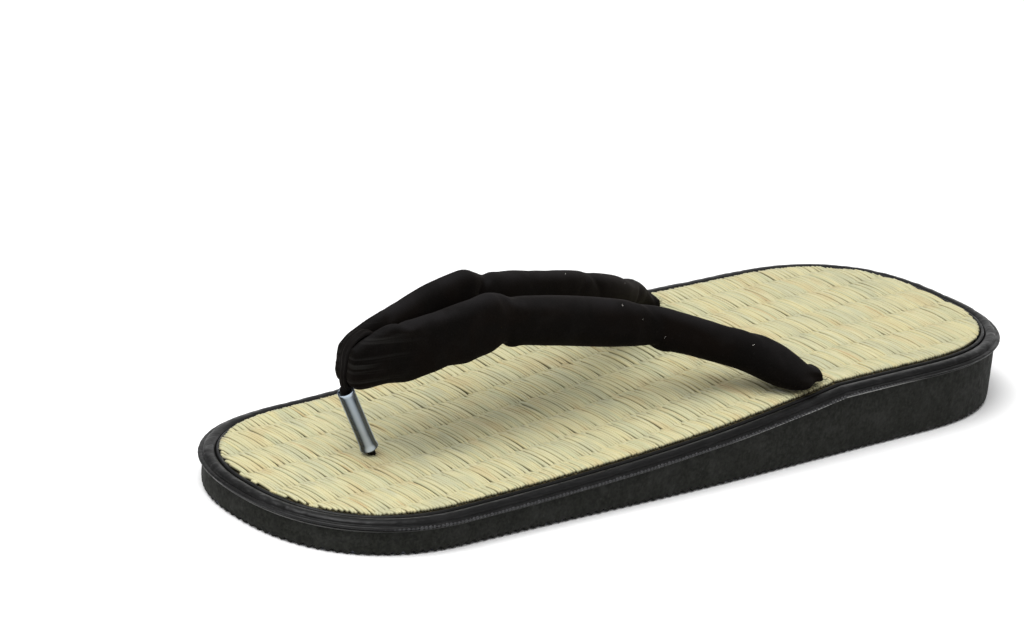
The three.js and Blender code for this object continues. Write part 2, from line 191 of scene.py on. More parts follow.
# The stage, in metres. A soft light: its place, what it is aimed at, width, depth and watts.
LAMPS = {
    "key": ((-0.22, 0.72, 1.3), (0, 0.05, 0), 1.5, 1.3, 32),
    "top": ((0.1, 0.2, 1.6), (0, 0.06, 0), 1.6, 1.4, 14),
    "back": ((0.95, -1.05, 0.42), (0, 0, 0.02), 2.0, 0.7, 4.5),
    "side": ((-1.2, -0.5, 0.5), (0, 0, 0.02), 0.9, 0.5, 2),
}
SKY_STRENGTH = 0.25
FLOOR_HALF_SIZE = 6
CAMERA_AIM = Vector((0, 0, 0.01))


# ------------------------------------------------------------------ settings

def length(name, description, value_mm, least=0.0):
    return FloatProperty(name=name, description=description, default=value_mm * MM, min=least, unit="LENGTH")


def angle(name, description, degrees):
    return FloatProperty(name=name, description=description, default=math.radians(degrees), subtype="ANGLE")


def colour(name, description, value):
    return FloatVectorProperty(name=name, description=description, default=value, size=3, subtype="COLOR",
                               min=0.0, max=1.0)


class SoleSettings(bpy.types.PropertyGroup):
    """Sizes and colours of the foam sole, its tread and its rim."""
    tread_pitch: length("Tread pitch", "Distance between neighbouring tread studs", 3.4)
    tread_height: length("Tread height", "How far the studs stand out of the sole", 1.15)
    rib_pitch: length("Gather pitch", "Distance between the gathers under the rim", 1.3)
    foam: colour("Foam", "Colour of the foam wall", (0.0082, 0.0087, 0.0068))
    rubber: colour("Tread rubber", "Colour of the tread", (0.045, 0.048, 0.052))
    # The gathers' colour is lighter than the rim's vinyl: painted light for the light the gathers catch.
    gathers: colour("Gathers", "Colour of the vinyl where it is gathered", (0.032, 0.032, 0.034))
    vinyl: colour("Vinyl", "Colour of the rolled rim", (0.0035, 0.0035, 0.0035))


class MatSettings(bpy.types.PropertyGroup):
    """Sizes and colours of the rush mat."""
    row_pitch: length("Row pitch", "Distance between the hidden warp cords", 12.8)
    row_offset: length("Row offset", "How far the middle row lies right of the middle of the mat", 6.1)
    stalk_pitch: length("Stalk pitch", "Distance between neighbouring stalks", 1.02)
    stalk_width: length("Stalk width", "Width of one stalk", 1.04)
    arch: length("Arch", "How high a stalk rises between two warp cords", 0.5)
    seed: IntProperty(name="Seed", description="Picks the stalks' small differences", default=7)
    pale: colour("Pale rush", "Colour of most stalks", (0.465, 0.435, 0.255))
    green: colour("Green rush", "Colour of the greener stalks", (0.385, 0.388, 0.235))
    straw: colour("Straw rush", "Colour of the yellower stalks", (0.49, 0.43, 0.21))


class StrapSettings(bpy.types.PropertyGroup):
    """Colours of the strap and the loop, and how far the padding swells."""
    velvet: colour("Velvet", "Colour of the velvet", (0.0012, 0.0009, 0.0007))
    sheen: colour("Velvet sheen", "Colour of the light on the pile", (0.56, 0.47, 0.42))
    ribbon: colour("Ribbon", "Colour of the cloth loop", (0.0018, 0.0013, 0.0011))
    swell_limit: length("Swell limit", "The most that the padding may push the cloth out", 0.6)


class StageSettings(bpy.types.PropertyGroup):
    """The camera's place and lens, and the floor's colour."""
    azimuth: angle("Azimuth", "Where the camera stands round the sandal", -132.99)
    elevation: angle("Elevation", "How high the camera stands", 20.12)
    roll: angle("Roll", "How far the camera is turned about its own axis", 5.93)
    distance: length("Distance", "From the camera to the middle of the sandal", 1271.6)
    slide: length("Slide", "How far the camera is moved sideways", -30.0, -1.0)
    rise: length("Rise", "How far the camera is moved upwards", 25.8, -1.0)
    lens: FloatProperty(name="Lens", description="Focal length in millimetres", default=151.9, min=10.0)
    floor: colour("Floor", "Colour of the floor", (0.86, 0.86, 0.86))


# ------------------------------------------------------------------ plain helpers

def new_object(name, mesh):
    piece = bpy.data.objects.new(name, mesh)
    bpy.context.scene.collection.objects.link(piece)
    return piece


def mesh_object(name, points_mm, faces, material=None, smooth=True):
    """A new object at the origin from points in millimetres."""
    mesh = bpy.data.meshes.new(name)
    points = np.asarray(points_mm, float).reshape(-1, 3) * MM
    mesh.from_pydata(points.tolist(), [], [tuple(f) for f in faces])
    mesh.validate()
    mesh.update()
    if material:
        mesh.materials.append(material)
    if smooth:
        mesh.shade_smooth()
    return new_object(name, mesh)


def seed_object(name):
    """A single point, for a tree that makes its whole shape itself."""
    return mesh_object(name, [(0, 0, 0)], [])


def finish_piece(piece, slot_name, *nodes):
    """Hides the CAD nodes that the piece stands for, and attaches it to what it rides on. The slot name is
    not used.
    """
    if nodes:
        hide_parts(*nodes)
    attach(piece, BODY)


def face_outwards(piece):
    shape = bmesh.new()
    shape.from_mesh(piece.data)
    bmesh.ops.remove_doubles(shape, verts=shape.verts, dist=1e-6)
    bmesh.ops.recalc_face_normals(shape, faces=shape.faces)
    shape.to_mesh(piece.data)
    shape.free()
    return piece


def bake_modifiers(piece):
    """Turns what the modifiers make into the object's own plain mesh."""
    bpy.context.view_layer.update()
    seen = piece.evaluated_get(bpy.context.evaluated_depsgraph_get())
    made = bpy.data.meshes.new_from_object(seen)
    if not made.polygons:
        raise RuntimeError(f"{piece.name} came out empty")
    piece.modifiers.clear()
    old = piece.data
    piece.data = made
    made.name = piece.name
    bpy.data.meshes.remove(old)
    return piece


def subdivide(piece, levels=1):
    soften = piece.modifiers.new("Soften", "SUBSURF")
    soften.levels = levels
    soften.render_levels = levels
    return bake_modifiers(piece)


def tube_faces(ring_count, sides, closed_run=False):
    """Faces between rings of points; a closed run joins its last ring to its first."""
    faces = []
    for ring in range(ring_count if closed_run else ring_count - 1):
        here = ring * sides
        there = ((ring + 1) % ring_count) * sides
        for i in range(sides):
            j = (i + 1) % sides
            faces.append((here + i, here + j, there + j, there + i))
    return faces


def turns(count):
    """Even angles all the way round."""
    return np.arange(count) / count * 2 * math.pi


def run_along(path):
    """How far along the path each of its points is."""
    return np.concatenate([[0], np.cumsum(np.linalg.norm(np.diff(path, axis=0), axis=1))])


def glide(a, b, c, d, t):
    """A smooth value between b and c, t of the way, and its slope."""
    bend = 2 * a - 5 * b + 4 * c - d
    twist = 3 * b - 3 * c + d - a
    value = 0.5 * (2 * b + (c - a) * t + bend * t ** 2 + twist * t ** 3)
    slope = 0.5 * ((c - a) + 2 * bend * t + 3 * twist * t ** 2)
    return value, slope


def unevenness(points, scale, shift):
    """Soft noise, from -1 to 1, at each point."""
    flat = points.reshape(-1, 3) * scale + shift
    return np.array([noise.noise(Vector(p)) for p in flat]).reshape(points.shape[:-1])


def soft_step(value):
    value = np.clip(value, 0, 1)
    return value * value * (3 - 2 * value)


def bell(value, width):
    return np.exp(-((value / width) ** 2))


# ------------------------------------------------------------------ the sole's shape

def mat_height(y):
    share = np.clip((RAMP_TOE - np.asarray(y, float)) / (RAMP_TOE - RAMP_HEEL), 0, 1)
    return TOE_HEIGHT + (HEEL_HEIGHT - TOE_HEIGHT) * share ** 2


def end_arc(end, tip, turn):
    across = end["half_width"] * np.cos(turn) ** (2 / end["squareness"])
    along = end["start"] + (tip - end["start"]) * np.sin(turn) ** (2 / end["squareness"])
    return np.stack([across, along], -1)


def half_outline():
    """The right-hand half of the outermost outline, toe tip to heel tip, in even steps."""
    turn = np.linspace(0, math.pi / 2, 400)
    toe = end_arc(TOE_END, HALF_LENGTH, turn[::-1])
    heel = end_arc(HEEL_END, -HALF_LENGTH, turn)
    side = np.linspace(toe[-1], heel[0], 101)[1:-1]
    path = np.vstack([toe, side, heel])
    path[:, 0] *= 1 + SIDE_SWELL["share"] * bell(path[:, 1], SIDE_SWELL["spread"])
    run = run_along(path)
    even = np.linspace(0, run[-1], HALF_STEPS + 1)
    return np.stack([np.interp(even, run, path[:, 0]), np.interp(even, run, path[:, 1])], -1)


HALF_OUTLINE = half_outline()


def outline(inset):
    """The whole outline moved inwards: toe tip, right side, heel tip, left side."""
    right = HALF_OUTLINE.copy()
    along = right[2:] - right[:-2]
    along /= np.linalg.norm(along, axis=1)[:, None]
    right[1:-1, 0] += along[:, 1] * inset
    right[1:-1, 1] -= along[:, 0] * inset
    right[0] = (0, right[0, 1] - inset)
    right[-1] = (0, right[-1, 1] + inset)
    left = right[-2:0:-1] * (-1, 1)
    return np.vstack([right, left])


def sole_ring(inset, height, kind="rise"):
    plan = outline(inset)
    heights = np.full(len(plan), float(height))
    if kind == "rise":
        heights += mat_height(plan[:, 1])
    return np.column_stack([plan, heights])


def cap_faces(first, up):
    """Strips across the sole that close a ring and follow the wedge."""
    faces = []
    for i in range(HALF_STEPS):
        corners = (i, (ROUND - i) % ROUND, (ROUND - i - 1) % ROUND, i + 1)
        face = [first + corner for corner in dict.fromkeys(corners)]
        if len(face) > 2:
            faces.append(tuple(face if up else face[::-1]))
    return faces


def sole_piece(name, lines, material, reshape=None, band=False):
    """A solid from lines round the sole: a layer right across it, or a band along its edge."""
    rings = [sole_ring(*line) for line in lines]
    if reshape:
        rings = [reshape(i, ring) for i, ring in enumerate(rings)]
    faces = tube_faces(len(rings), ROUND, band)
    if not band:
        faces += cap_faces(0, False) + cap_faces((len(rings) - 1) * ROUND, True)
    return face_outwards(mesh_object(name, rings, faces, material))


def outline_wall(name, inset, shift, low, high):
    """An upright strip along the outline, where the weave and the tread end. It is then removed."""
    rings = [sole_ring(inset, z, "z") + (shift, 0, 0) for z in (low, high)]
    return mesh_object(name, rings, tube_faces(2, ROUND), smooth=False)


# ------------------------------------------------------------------ node helpers

class Wire:
    """What comes out of a node. It can be added, multiplied and compared like a number."""

    def __init__(self, graph, socket):
        self.graph = graph
        self.socket = socket

    def __add__(self, other):
        return self.graph.math("ADD", self, other)

    def __sub__(self, other):
        return self.graph.math("SUBTRACT", self, other)

    def __rsub__(self, other):
        return self.graph.math("SUBTRACT", other, self)

    def __mul__(self, other):
        return self.graph.math("MULTIPLY", self, other)

    def __truediv__(self, other):
        return self.graph.math("DIVIDE", self, other)

    def __mod__(self, other):
        return self.graph.math("MODULO", self, other)

    def __pow__(self, other):
        return self.graph.math("POWER", self, other)

    def __lt__(self, other):
        return self.graph.math("LESS_THAN", self, other)

    def __abs__(self):
        return self.graph.math("ABSOLUTE", self)

    def __floor__(self):
        return self.graph.math("FLOOR", self)


class Graph:
    """Places and joins nodes in one tree."""

    def __init__(self, tree):
        self.tree = tree
        self.count = 0

    def add(self, kind, inputs=None, **settings):
        node = self.tree.nodes.new(kind)
        node.location = (190 * (self.count % 12), -230 * (self.count // 12))
        self.count += 1
        for key, value in settings.items():
            setattr(node, key, value)
        return self.fill(node, inputs or {})

    def fill(self, node, inputs):
        """Joins or sets a node's inputs. A colour is given as red, green and blue."""
        for key, value in inputs.items():
            socket = node.inputs[key]
            if isinstance(value, Wire):
                self.tree.links.new(value.socket, socket)
            elif socket.type == "RGBA":
                socket.default_value = (*value, 1.0)
            else:
                socket.default_value = value
        return node

    def wires(self, node):
        return {socket.name: Wire(self, socket) for socket in node.outputs if socket.name}

    def wire(self, kind, inputs=None, output=0, **settings):
        return Wire(self, self.add(kind, inputs, **settings).outputs[output])

    def shape(self, kind, inputs=None, output=0, **settings):
        return self.wire("GeometryNode" + kind, inputs, output, **settings)

    def start(self):
        return self.wires(self.add("NodeGroupInput"))

    def math(self, operation, a, b=0.0):
        return self.wire("ShaderNodeMath", {0: a, 1: b}, operation=operation)

    def vector(self, x, y, z):
        return self.wire("ShaderNodeCombineXYZ", {0: x, 1: y, 2: z})

    def parts(self, vector):
        return list(self.wires(self.add("ShaderNodeSeparateXYZ", {0: vector})).values())

    def stretch(self, place, scale):
        return self.wire("ShaderNodeMapping", {"Vector": place, "Scale": scale})

    def span(self, value, low, high, to_low=0.0, to_high=1.0, smooth=False):
        """Takes low to high onto to_low to to_high, and no further."""
        inputs = {"Value": value, "From Min": low, "From Max": high, "To Min": to_low, "To Max": to_high}
        kind = "SMOOTHSTEP" if smooth else "LINEAR"
        return self.wire("ShaderNodeMapRange", inputs, interpolation_type=kind)

    def noise(self, vector, scale, detail=2.0, roughness=0.5, distortion=0.0):
        inputs = {"Vector": vector, "Scale": scale, "Detail": detail, "Roughness": roughness}
        return self.wire("ShaderNodeTexNoise", {**inputs, "Distortion": distortion})

    def blend(self, share, a, b):
        return self.wire("ShaderNodeMix", {0: share, 6: a, 7: b}, 2, data_type="RGBA")

    def bump(self, height, strength, distance, over=None):
        """A bump, which may lie over another one."""
        inputs = {"Height": height, "Strength": strength, "Distance": distance}
        if over is not None:
            inputs["Normal"] = over
        return self.wire("ShaderNodeBump", inputs)


def add_sockets(tree, direction, sockets):
    """Names a tree's sockets. Each has its default value, or else the kind of socket it is."""
    for label, value in sockets.items():
        kind = {float: "Float", int: "Int", tuple: "Color"}.get(type(value), value)
        item = tree.interface.new_socket(label, in_out=direction, socket_type="NodeSocket" + kind)
        if kind != value:
            item.default_value = value


# ------------------------------------------------------------------ effects that several finishes share

def grain_effect(graph, start):
    """Fine grain with a coarser unevenness under it."""
    fine = graph.noise(start["Vector"], start["Fine Scale"], 3.0, 0.6)
    coarse = graph.noise(start["Vector"], start["Coarse Scale"])
    return fine * start["Fine Share"] + coarse * (1.0 - start["Fine Share"]), fine, coarse


def dust_effect(graph, start):
    """Pale dust and scuffs scattered over a darker colour."""
    patches = graph.span(graph.noise(start["Vector"], start["Patch Scale"], 4.0, 0.6), 0.5, 0.75)
    specks = graph.span(graph.noise(start["Vector"], start["Speck Scale"], 1.0), 0.66, 0.78)
    mask = graph.math("MAXIMUM", patches, specks) * start["Amount"]
    return graph.blend(mask, start["Colour"], start["Dust"]), mask


def pile_effect(graph, start):
    """Cut pile that lies in different directions, in soft patches."""
    patches = graph.noise(start["Vector"], start["Patch Scale"], 3.0, 0.55, 0.6)
    lay = graph.span(patches, 0.35, 0.7, smooth=True)
    tufts = graph.noise(start["Vector"], start["Tuft Scale"], 1.0, 0.6)
    return graph.blend(lay, start["Colour"], start["Brushed"]), tufts * 0.7 + lay * 0.3, lay


EFFECTS = {
    "Grain": (grain_effect,
              {"Vector": "Vector", "Fine Scale": 900.0, "Coarse Scale": 120.0, "Fine Share": 0.6},
              {"Height": "Float", "Fine": "Float", "Coarse": "Float"}),
    "Dust": (dust_effect,
             {"Vector": "Vector", "Colour": (0.01, 0.01, 0.01, 1), "Dust": (0.3, 0.3, 0.3, 1),
              "Patch Scale": 40.0, "Speck Scale": 900.0, "Amount": 0.2},
             {"Colour": "Color", "Mask": "Float"}),
    "Pile": (pile_effect,
             {"Vector": "Vector", "Colour": (0.01, 0.01, 0.01, 1), "Brushed": (0.03, 0.03, 0.03, 1),
              "Patch Scale": 60.0, "Tuft Scale": 3000.0},
             {"Colour": "Color", "Height": "Float", "Lay": "Float"}),
}


def effect(graph, name, place, **values):
    """Places a shared effect, with its own values, and gives what comes out of it."""
    if name not in bpy.data.node_groups:
        build, inputs, outputs = EFFECTS[name]
        tree = bpy.data.node_groups.new(name, "ShaderNodeTree")
        add_sockets(tree, "INPUT", inputs)
        add_sockets(tree, "OUTPUT", outputs)
        inside = Graph(tree)
        made = build(inside, inside.start())
        inside.add("NodeGroupOutput", dict(enumerate(made)))
    node = graph.add("ShaderNodeGroup", node_tree=bpy.data.node_groups[name])
    labelled = {key.replace("_", " ").title(): value for key, value in values.items()}
    return graph.wires(graph.fill(node, {"Vector": place, **labelled}))


def new_material(name):
    """A material, its graph, its Principled shader and its Object coordinates."""
    material = bpy.data.materials.new(name)
    material.use_nodes = True
    material.node_tree.nodes.clear()
    graph = Graph(material.node_tree)
    output = graph.add("ShaderNodeOutputMaterial")
    shader = graph.add("ShaderNodeBsdfPrincipled")
    material.node_tree.links.new(shader.outputs[0], output.inputs[0])
    return material, graph, shader, graph.wire("ShaderNodeTexCoord", output="Object")


# ------------------------------------------------------------------ finishes

def foam_finish(settings):
    """Cut foam: fine grain, dull, with faint pale scuffs."""
    material, graph, shader, place = new_material("foam_rubber")
    grain = effect(graph, "Grain", graph.stretch(place, (1.0, 1.0, 0.95)),
                   fine_scale=1150.0, coarse_scale=420.0, fine_share=0.6)
    dark, light = ([c * share for c in settings.foam] for share in (0.5, 1.7))
    shade = graph.blend(graph.span(grain["Fine"], 0.35, 0.7), dark, light)
    dust = effect(graph, "Dust", place, colour=shade, dust=(0.08, 0.08, 0.078),
                  patch_scale=170.0, speck_scale=1100.0, amount=0.13)
    graph.fill(shader, {
        "Base Color": dust["Colour"],
        "Roughness": graph.span(grain["Coarse"], 0.3, 0.7, 0.68, 0.86),
        "Normal": graph.bump(grain["Height"], 0.55, 0.0004),
        "Specular IOR Level": 0.14,
    })
    return material


def lip_finish():
    """The moulded skin at the top of the wall, with a painted highlight along the waist and at the toe."""
    material, graph, shader, place = new_material("wall_lip")
    y = graph.parts(place)[1]
    lip_noise = graph.span(graph.noise(graph.stretch(place, (1.0, 0.25, 1.0)), 60.0, 3.0, 0.6), 0.35, 0.65)
    # Painted highlight: the lip is painted pale along the waist and at the toe, where it catches the light,
    # broken up by noise.
    waist = graph.span(y, 0.0, -0.03) * graph.span(y, -0.085, -0.07)
    toe = graph.span(y, 0.118, 0.136, 0.0, 0.3)
    mask = (waist + toe) * graph.span(lip_noise, 0.0, 1.0, 0.6, 1.0)
    graph.fill(shader, {
        "Base Color": graph.blend(mask, (0.012, 0.012, 0.0115), (0.32, 0.32, 0.31)),
        "Roughness": graph.span(lip_noise, 0.0, 1.0, 0.6, 0.4),
        "Specular IOR Level": 0.3,
    })
    return material


def tread_finish(settings):
    """Harder rubber, a little blue in patches, dusty from the floor."""
    material, graph, shader, place = new_material("tread_rubber")
    grain = effect(graph, "Grain", place, fine_scale=1500.0, coarse_scale=20.0, fine_share=0.4)
    red, green, blue = settings.rubber
    shade = graph.blend(graph.span(grain["Coarse"], 0.35, 0.65), settings.rubber,
                        (red * 0.8, green * 0.9, blue * 1.5))
    dust = effect(graph, "Dust", place, colour=shade, dust=(0.3, 0.3, 0.3),
                  patch_scale=30.0, speck_scale=700.0, amount=0.12)
    graph.fill(shader, {
        "Base Color": dust["Colour"],
        "Roughness": graph.span(grain["Fine"], 0.3, 0.7, 0.42, 0.6),
        "Normal": graph.bump(grain["Height"], 0.2, 0.0002),
    })
    return material


def vinyl_finish(name, tone, roughness):
    """Thin black leathercloth: soft gloss, fine crinkles and a little dust in them."""
    material, graph, shader, place = new_material(name)
    grain = effect(graph, "Grain", place, fine_scale=1300.0, coarse_scale=260.0, fine_share=0.35)
    crinkle = graph.noise(graph.stretch(place, (1.0, 0.35, 1.0)), 420.0, 2.0, 0.5, 1.2)
    dust = effect(graph, "Dust", place, colour=tone, dust=(0.06, 0.06, 0.062),
                  patch_scale=90.0, speck_scale=1500.0, amount=0.12)
    low = graph.bump(crinkle, 0.35, 0.0005)
    graph.fill(shader, {
        "Base Color": dust["Colour"],
        "Roughness": graph.span(grain["Coarse"], 0.3, 0.7, roughness - 0.06, roughness + 0.12),
        "Normal": graph.bump(grain["Height"], 0.25, 0.0002, low),
        "Specular IOR Level": 0.2,
    })
    return material


def backing_finish():
    """The dark base that shows between the stalks."""
    material, graph, shader, place = new_material("rush_backing")
    streak = graph.noise(graph.stretch(place, (70.0, 1400.0, 300.0)), 1.0, 3.0, 0.6)
    graph.fill(shader, {"Base Color": graph.blend(streak, (0.055, 0.043, 0.014), (0.12, 0.097, 0.04)),
                        "Roughness": 0.9})
    return material


def rush_finish(settings):
    """Dried rush: each stalk its own tone, with fine streaks along it and painted shade along its edges."""
    material, graph, shader, place = new_material("rush")
    streak = graph.noise(graph.stretch(place, (70.0, 1400.0, 300.0)), 1.0, 3.0, 0.6)
    tone = graph.wire("ShaderNodeAttribute", output="Fac", attribute_name="tone")
    across = graph.wire("ShaderNodeAttribute", output="Fac", attribute_name="across")
    patch = graph.noise(graph.stretch(place, (1.0, 2.4, 1.0)), 62.0)
    body = graph.blend(graph.span(tone, 0.0, 0.45), settings.green, settings.pale)
    # Painted shade: each stalk's edges are darkened, more on some stalks than others, for the shade in the
    # narrow valleys between stalks.
    edge_shade = graph.span(graph.math("FRACT", tone * 7.0), 0.0, 1.0, 0.25, 0.9)
    edge = graph.span(abs(across), 0.55, 0.98) * edge_shade
    ruddy = graph.span(tone, 0.95, 0.98) * graph.span(patch, 0.5, 0.45) * 0.45
    for share, tint in (
        (graph.span(tone, 0.72, 1.0, 0.0, 0.6), settings.straw),
        (graph.span(patch, 0.54, 0.66, 0.0, 0.75), (0.37, 0.37, 0.24)),
        (graph.span(patch, 0.44, 0.33, 0.0, 0.6), (0.43, 0.345, 0.175)),
        (ruddy, (0.33, 0.21, 0.09)),
        (graph.span(streak, 0.3, 0.75, 0.0, 0.3), (0.28, 0.24, 0.11)),
        (edge, (0.13, 0.105, 0.04)),
    ):
        body = graph.blend(share, body, tint)
    graph.fill(shader, {
        "Base Color": body,
        "Roughness": graph.span(streak, 0.3, 0.7, 0.5, 0.7),
        "Normal": graph.bump(streak, 0.4, 0.0003),
        "Specular IOR Level": 0.4,
        "Sheen Weight": 0.1,
    })
    return material


def velvet_finish(settings):
    """Black velvet: brushed patches, dust, a painted lighter top where it faces up, and painted highlights
    along the pleats at the nose.
    """
    material, graph, shader, place = new_material("velvet")
    pile = effect(graph, "Pile", place, colour=settings.velvet, brushed=(0.0024, 0.0015, 0.001),
                  patch_scale=75.0, tuft_scale=2600.0)
    dust = effect(graph, "Dust", place, colour=pile["Colour"], dust=(0.02, 0.018, 0.017),
                  patch_scale=140.0, speck_scale=1300.0, amount=0.1)
    # Painted highlight: pale streaks along the pleats at the nose, where the pile catches the light.
    pleats = graph.noise(graph.stretch(place, (30.0, 22.0, 620.0)), 1.0, 2.0, 0.6, 0.4)
    pulled = graph.span(pleats, 0.52, 0.68) * graph.span(graph.parts(place)[1], 0.084, 0.1) * 0.8
    shown = graph.blend(pulled, dust["Colour"], (0.015, 0.0145, 0.0135))
    # Painted light: faces that turn upwards are painted lighter, as the light from above falls on them.
    up = graph.parts(graph.wire("ShaderNodeNewGeometry", output="Normal"))[2]
    painted_top_light = graph.span(up, 0.35, 0.95, smooth=True) * graph.span(pile["Lay"], 0.0, 1.0, 0.45, 1.0)
    graph.fill(shader, {
        "Base Color": graph.blend(painted_top_light, shown, (0.0088, 0.0083, 0.0088)),
        "Roughness": graph.span(pile["Lay"], 0.0, 1.0, 0.82, 0.95),
        "Normal": graph.bump(pile["Height"], 0.4, 0.0004),
        "Specular IOR Level": 0.04,
        "Sheen Weight": 0.035,
        "Sheen Roughness": 0.5,
        "Sheen Tint": settings.sheen,
    })
    return material


def ribbon_finish(settings):
    """The same cloth without padding, a little glossier where it is pulled tight."""
    material, graph, shader, place = new_material("ribbon")
    pile = effect(graph, "Pile", place, colour=settings.ribbon, brushed=(0.0026, 0.0018, 0.0015),
                  patch_scale=180.0, tuft_scale=2600.0)
    graph.fill(shader, {
        "Base Color": pile["Colour"],
        "Roughness": graph.span(pile["Lay"], 0.0, 1.0, 0.7, 0.9),
        "Normal": graph.bump(pile["Height"], 0.4, 0.0004),
        "Specular IOR Level": 0.08,
        "Sheen Weight": 0.03,
        "Sheen Roughness": 0.4,
        "Sheen Tint": (0.6, 0.45, 0.38),
    })
    return material


def plastic_finish():
    """Thin clear tube: glossy, faintly blue, with painted shade in a band where its wall is seen edge on, and
    hair scratches.
    """
    material, graph, shader, place = new_material("clear_plastic")
    scratch = graph.noise(graph.stretch(place, (900.0, 40.0, 40.0)), 1.0, 1.0)
    # Painted shade: a dark band where the tube is seen at a slant, for the dark that shows through and is
    # reflected in its sides.
    rim = graph.wire("ShaderNodeLayerWeight", {"Blend": 0.5}, "Facing")
    wall = graph.span(rim, 0.15, 0.34, smooth=True) * graph.span(rim, 0.78, 0.58)
    clear = graph.blend(graph.span(scratch, 0.45, 0.7), (0.58, 0.68, 0.8), (0.78, 0.86, 0.94))
    graph.fill(shader, {
        "Base Color": graph.blend(wall, clear, (0.035, 0.045, 0.06)),
        "Roughness": graph.span(scratch, 0.5, 0.8, 0.05, 0.12),
        "Transmission Weight": 0.3,
        "IOR": 1.46,
    })
    return material


def plain_finish(name, scale, dark, light):
    """A dull finish that only varies a little in tone."""
    material, graph, shader, place = new_material(name)
    graph.fill(shader, {"Base Color": graph.blend(graph.noise(place, scale), dark, light), "Roughness": 0.9})
    return material


# ------------------------------------------------------------------ geometry node trees

def geometry_tree(name, inputs):
    """A tree with its inputs; the caller builds from start and hands the shape to close_tree."""
    tree = bpy.data.node_groups.new(name, "GeometryNodeTree")
    tree.is_modifier = True
    add_sockets(tree, "INPUT", {"Geometry": "Geometry", **inputs, "Material": "Material"})
    add_sockets(tree, "OUTPUT", {"Geometry": "Geometry"})
    graph = Graph(tree)
    return graph, graph.start()


def close_tree(graph, start, shape, smooth=True):
    real = graph.shape("RealizeInstances", {0: shape})
    shaded = graph.shape("SetShadeSmooth", {"Geometry": real, "Shade Smooth": smooth})
    painted = graph.shape("SetMaterial", {"Geometry": shaded, "Material": start["Material"]})
    graph.add("NodeGroupOutput", {0: painted})
    return graph.tree


def run_tree(piece, tree, values):
    """Adds the tree as a modifier with its inputs, and turns the result into a plain mesh."""
    modifier = piece.modifiers.new(tree.name, "NODES")
    modifier.node_group = tree
    for item in tree.interface.items_tree:
        if item.in_out == "INPUT" and item.name in values:
            modifier[item.identifier] = values[item.name]
    return bake_modifiers(piece)


def named(graph, name):
    return graph.shape("InputNamedAttribute", {"Name": name}, data_type="FLOAT")


def remember(graph, shape, name, value):
    inputs = {"Geometry": shape, "Name": name, "Value": value}
    return graph.shape("StoreNamedAttribute", inputs, data_type="FLOAT", domain="POINT")


def random_value(graph, low, high, seed):
    node = graph.add("FunctionNodeRandomValue", {2: low, 3: high, "Seed": seed}, data_type="FLOAT")
    return Wire(graph, node.outputs[1])


def object_shape(graph, thing):
    return graph.shape("ObjectInfo", {0: thing}, "Geometry")


def delete_points(graph, points, selection):
    return graph.shape("DeleteGeometry", {"Geometry": points, "Selection": selection}, domain="POINT")


def reach_to_wall(graph, wall, y, direction):
    """Whether the outline is met from X = 0 at this y, to one side, and how far away it is."""
    cast = graph.wires(graph.add("GeometryNodeRaycast", {
        "Target Geometry": object_shape(graph, wall), "Source Position": graph.vector(0.0, y, 0.02),
        "Ray Direction": (direction, 0, 0), "Ray Length": 1.0}))
    return cast["Is Hit"], cast["Hit Distance"]


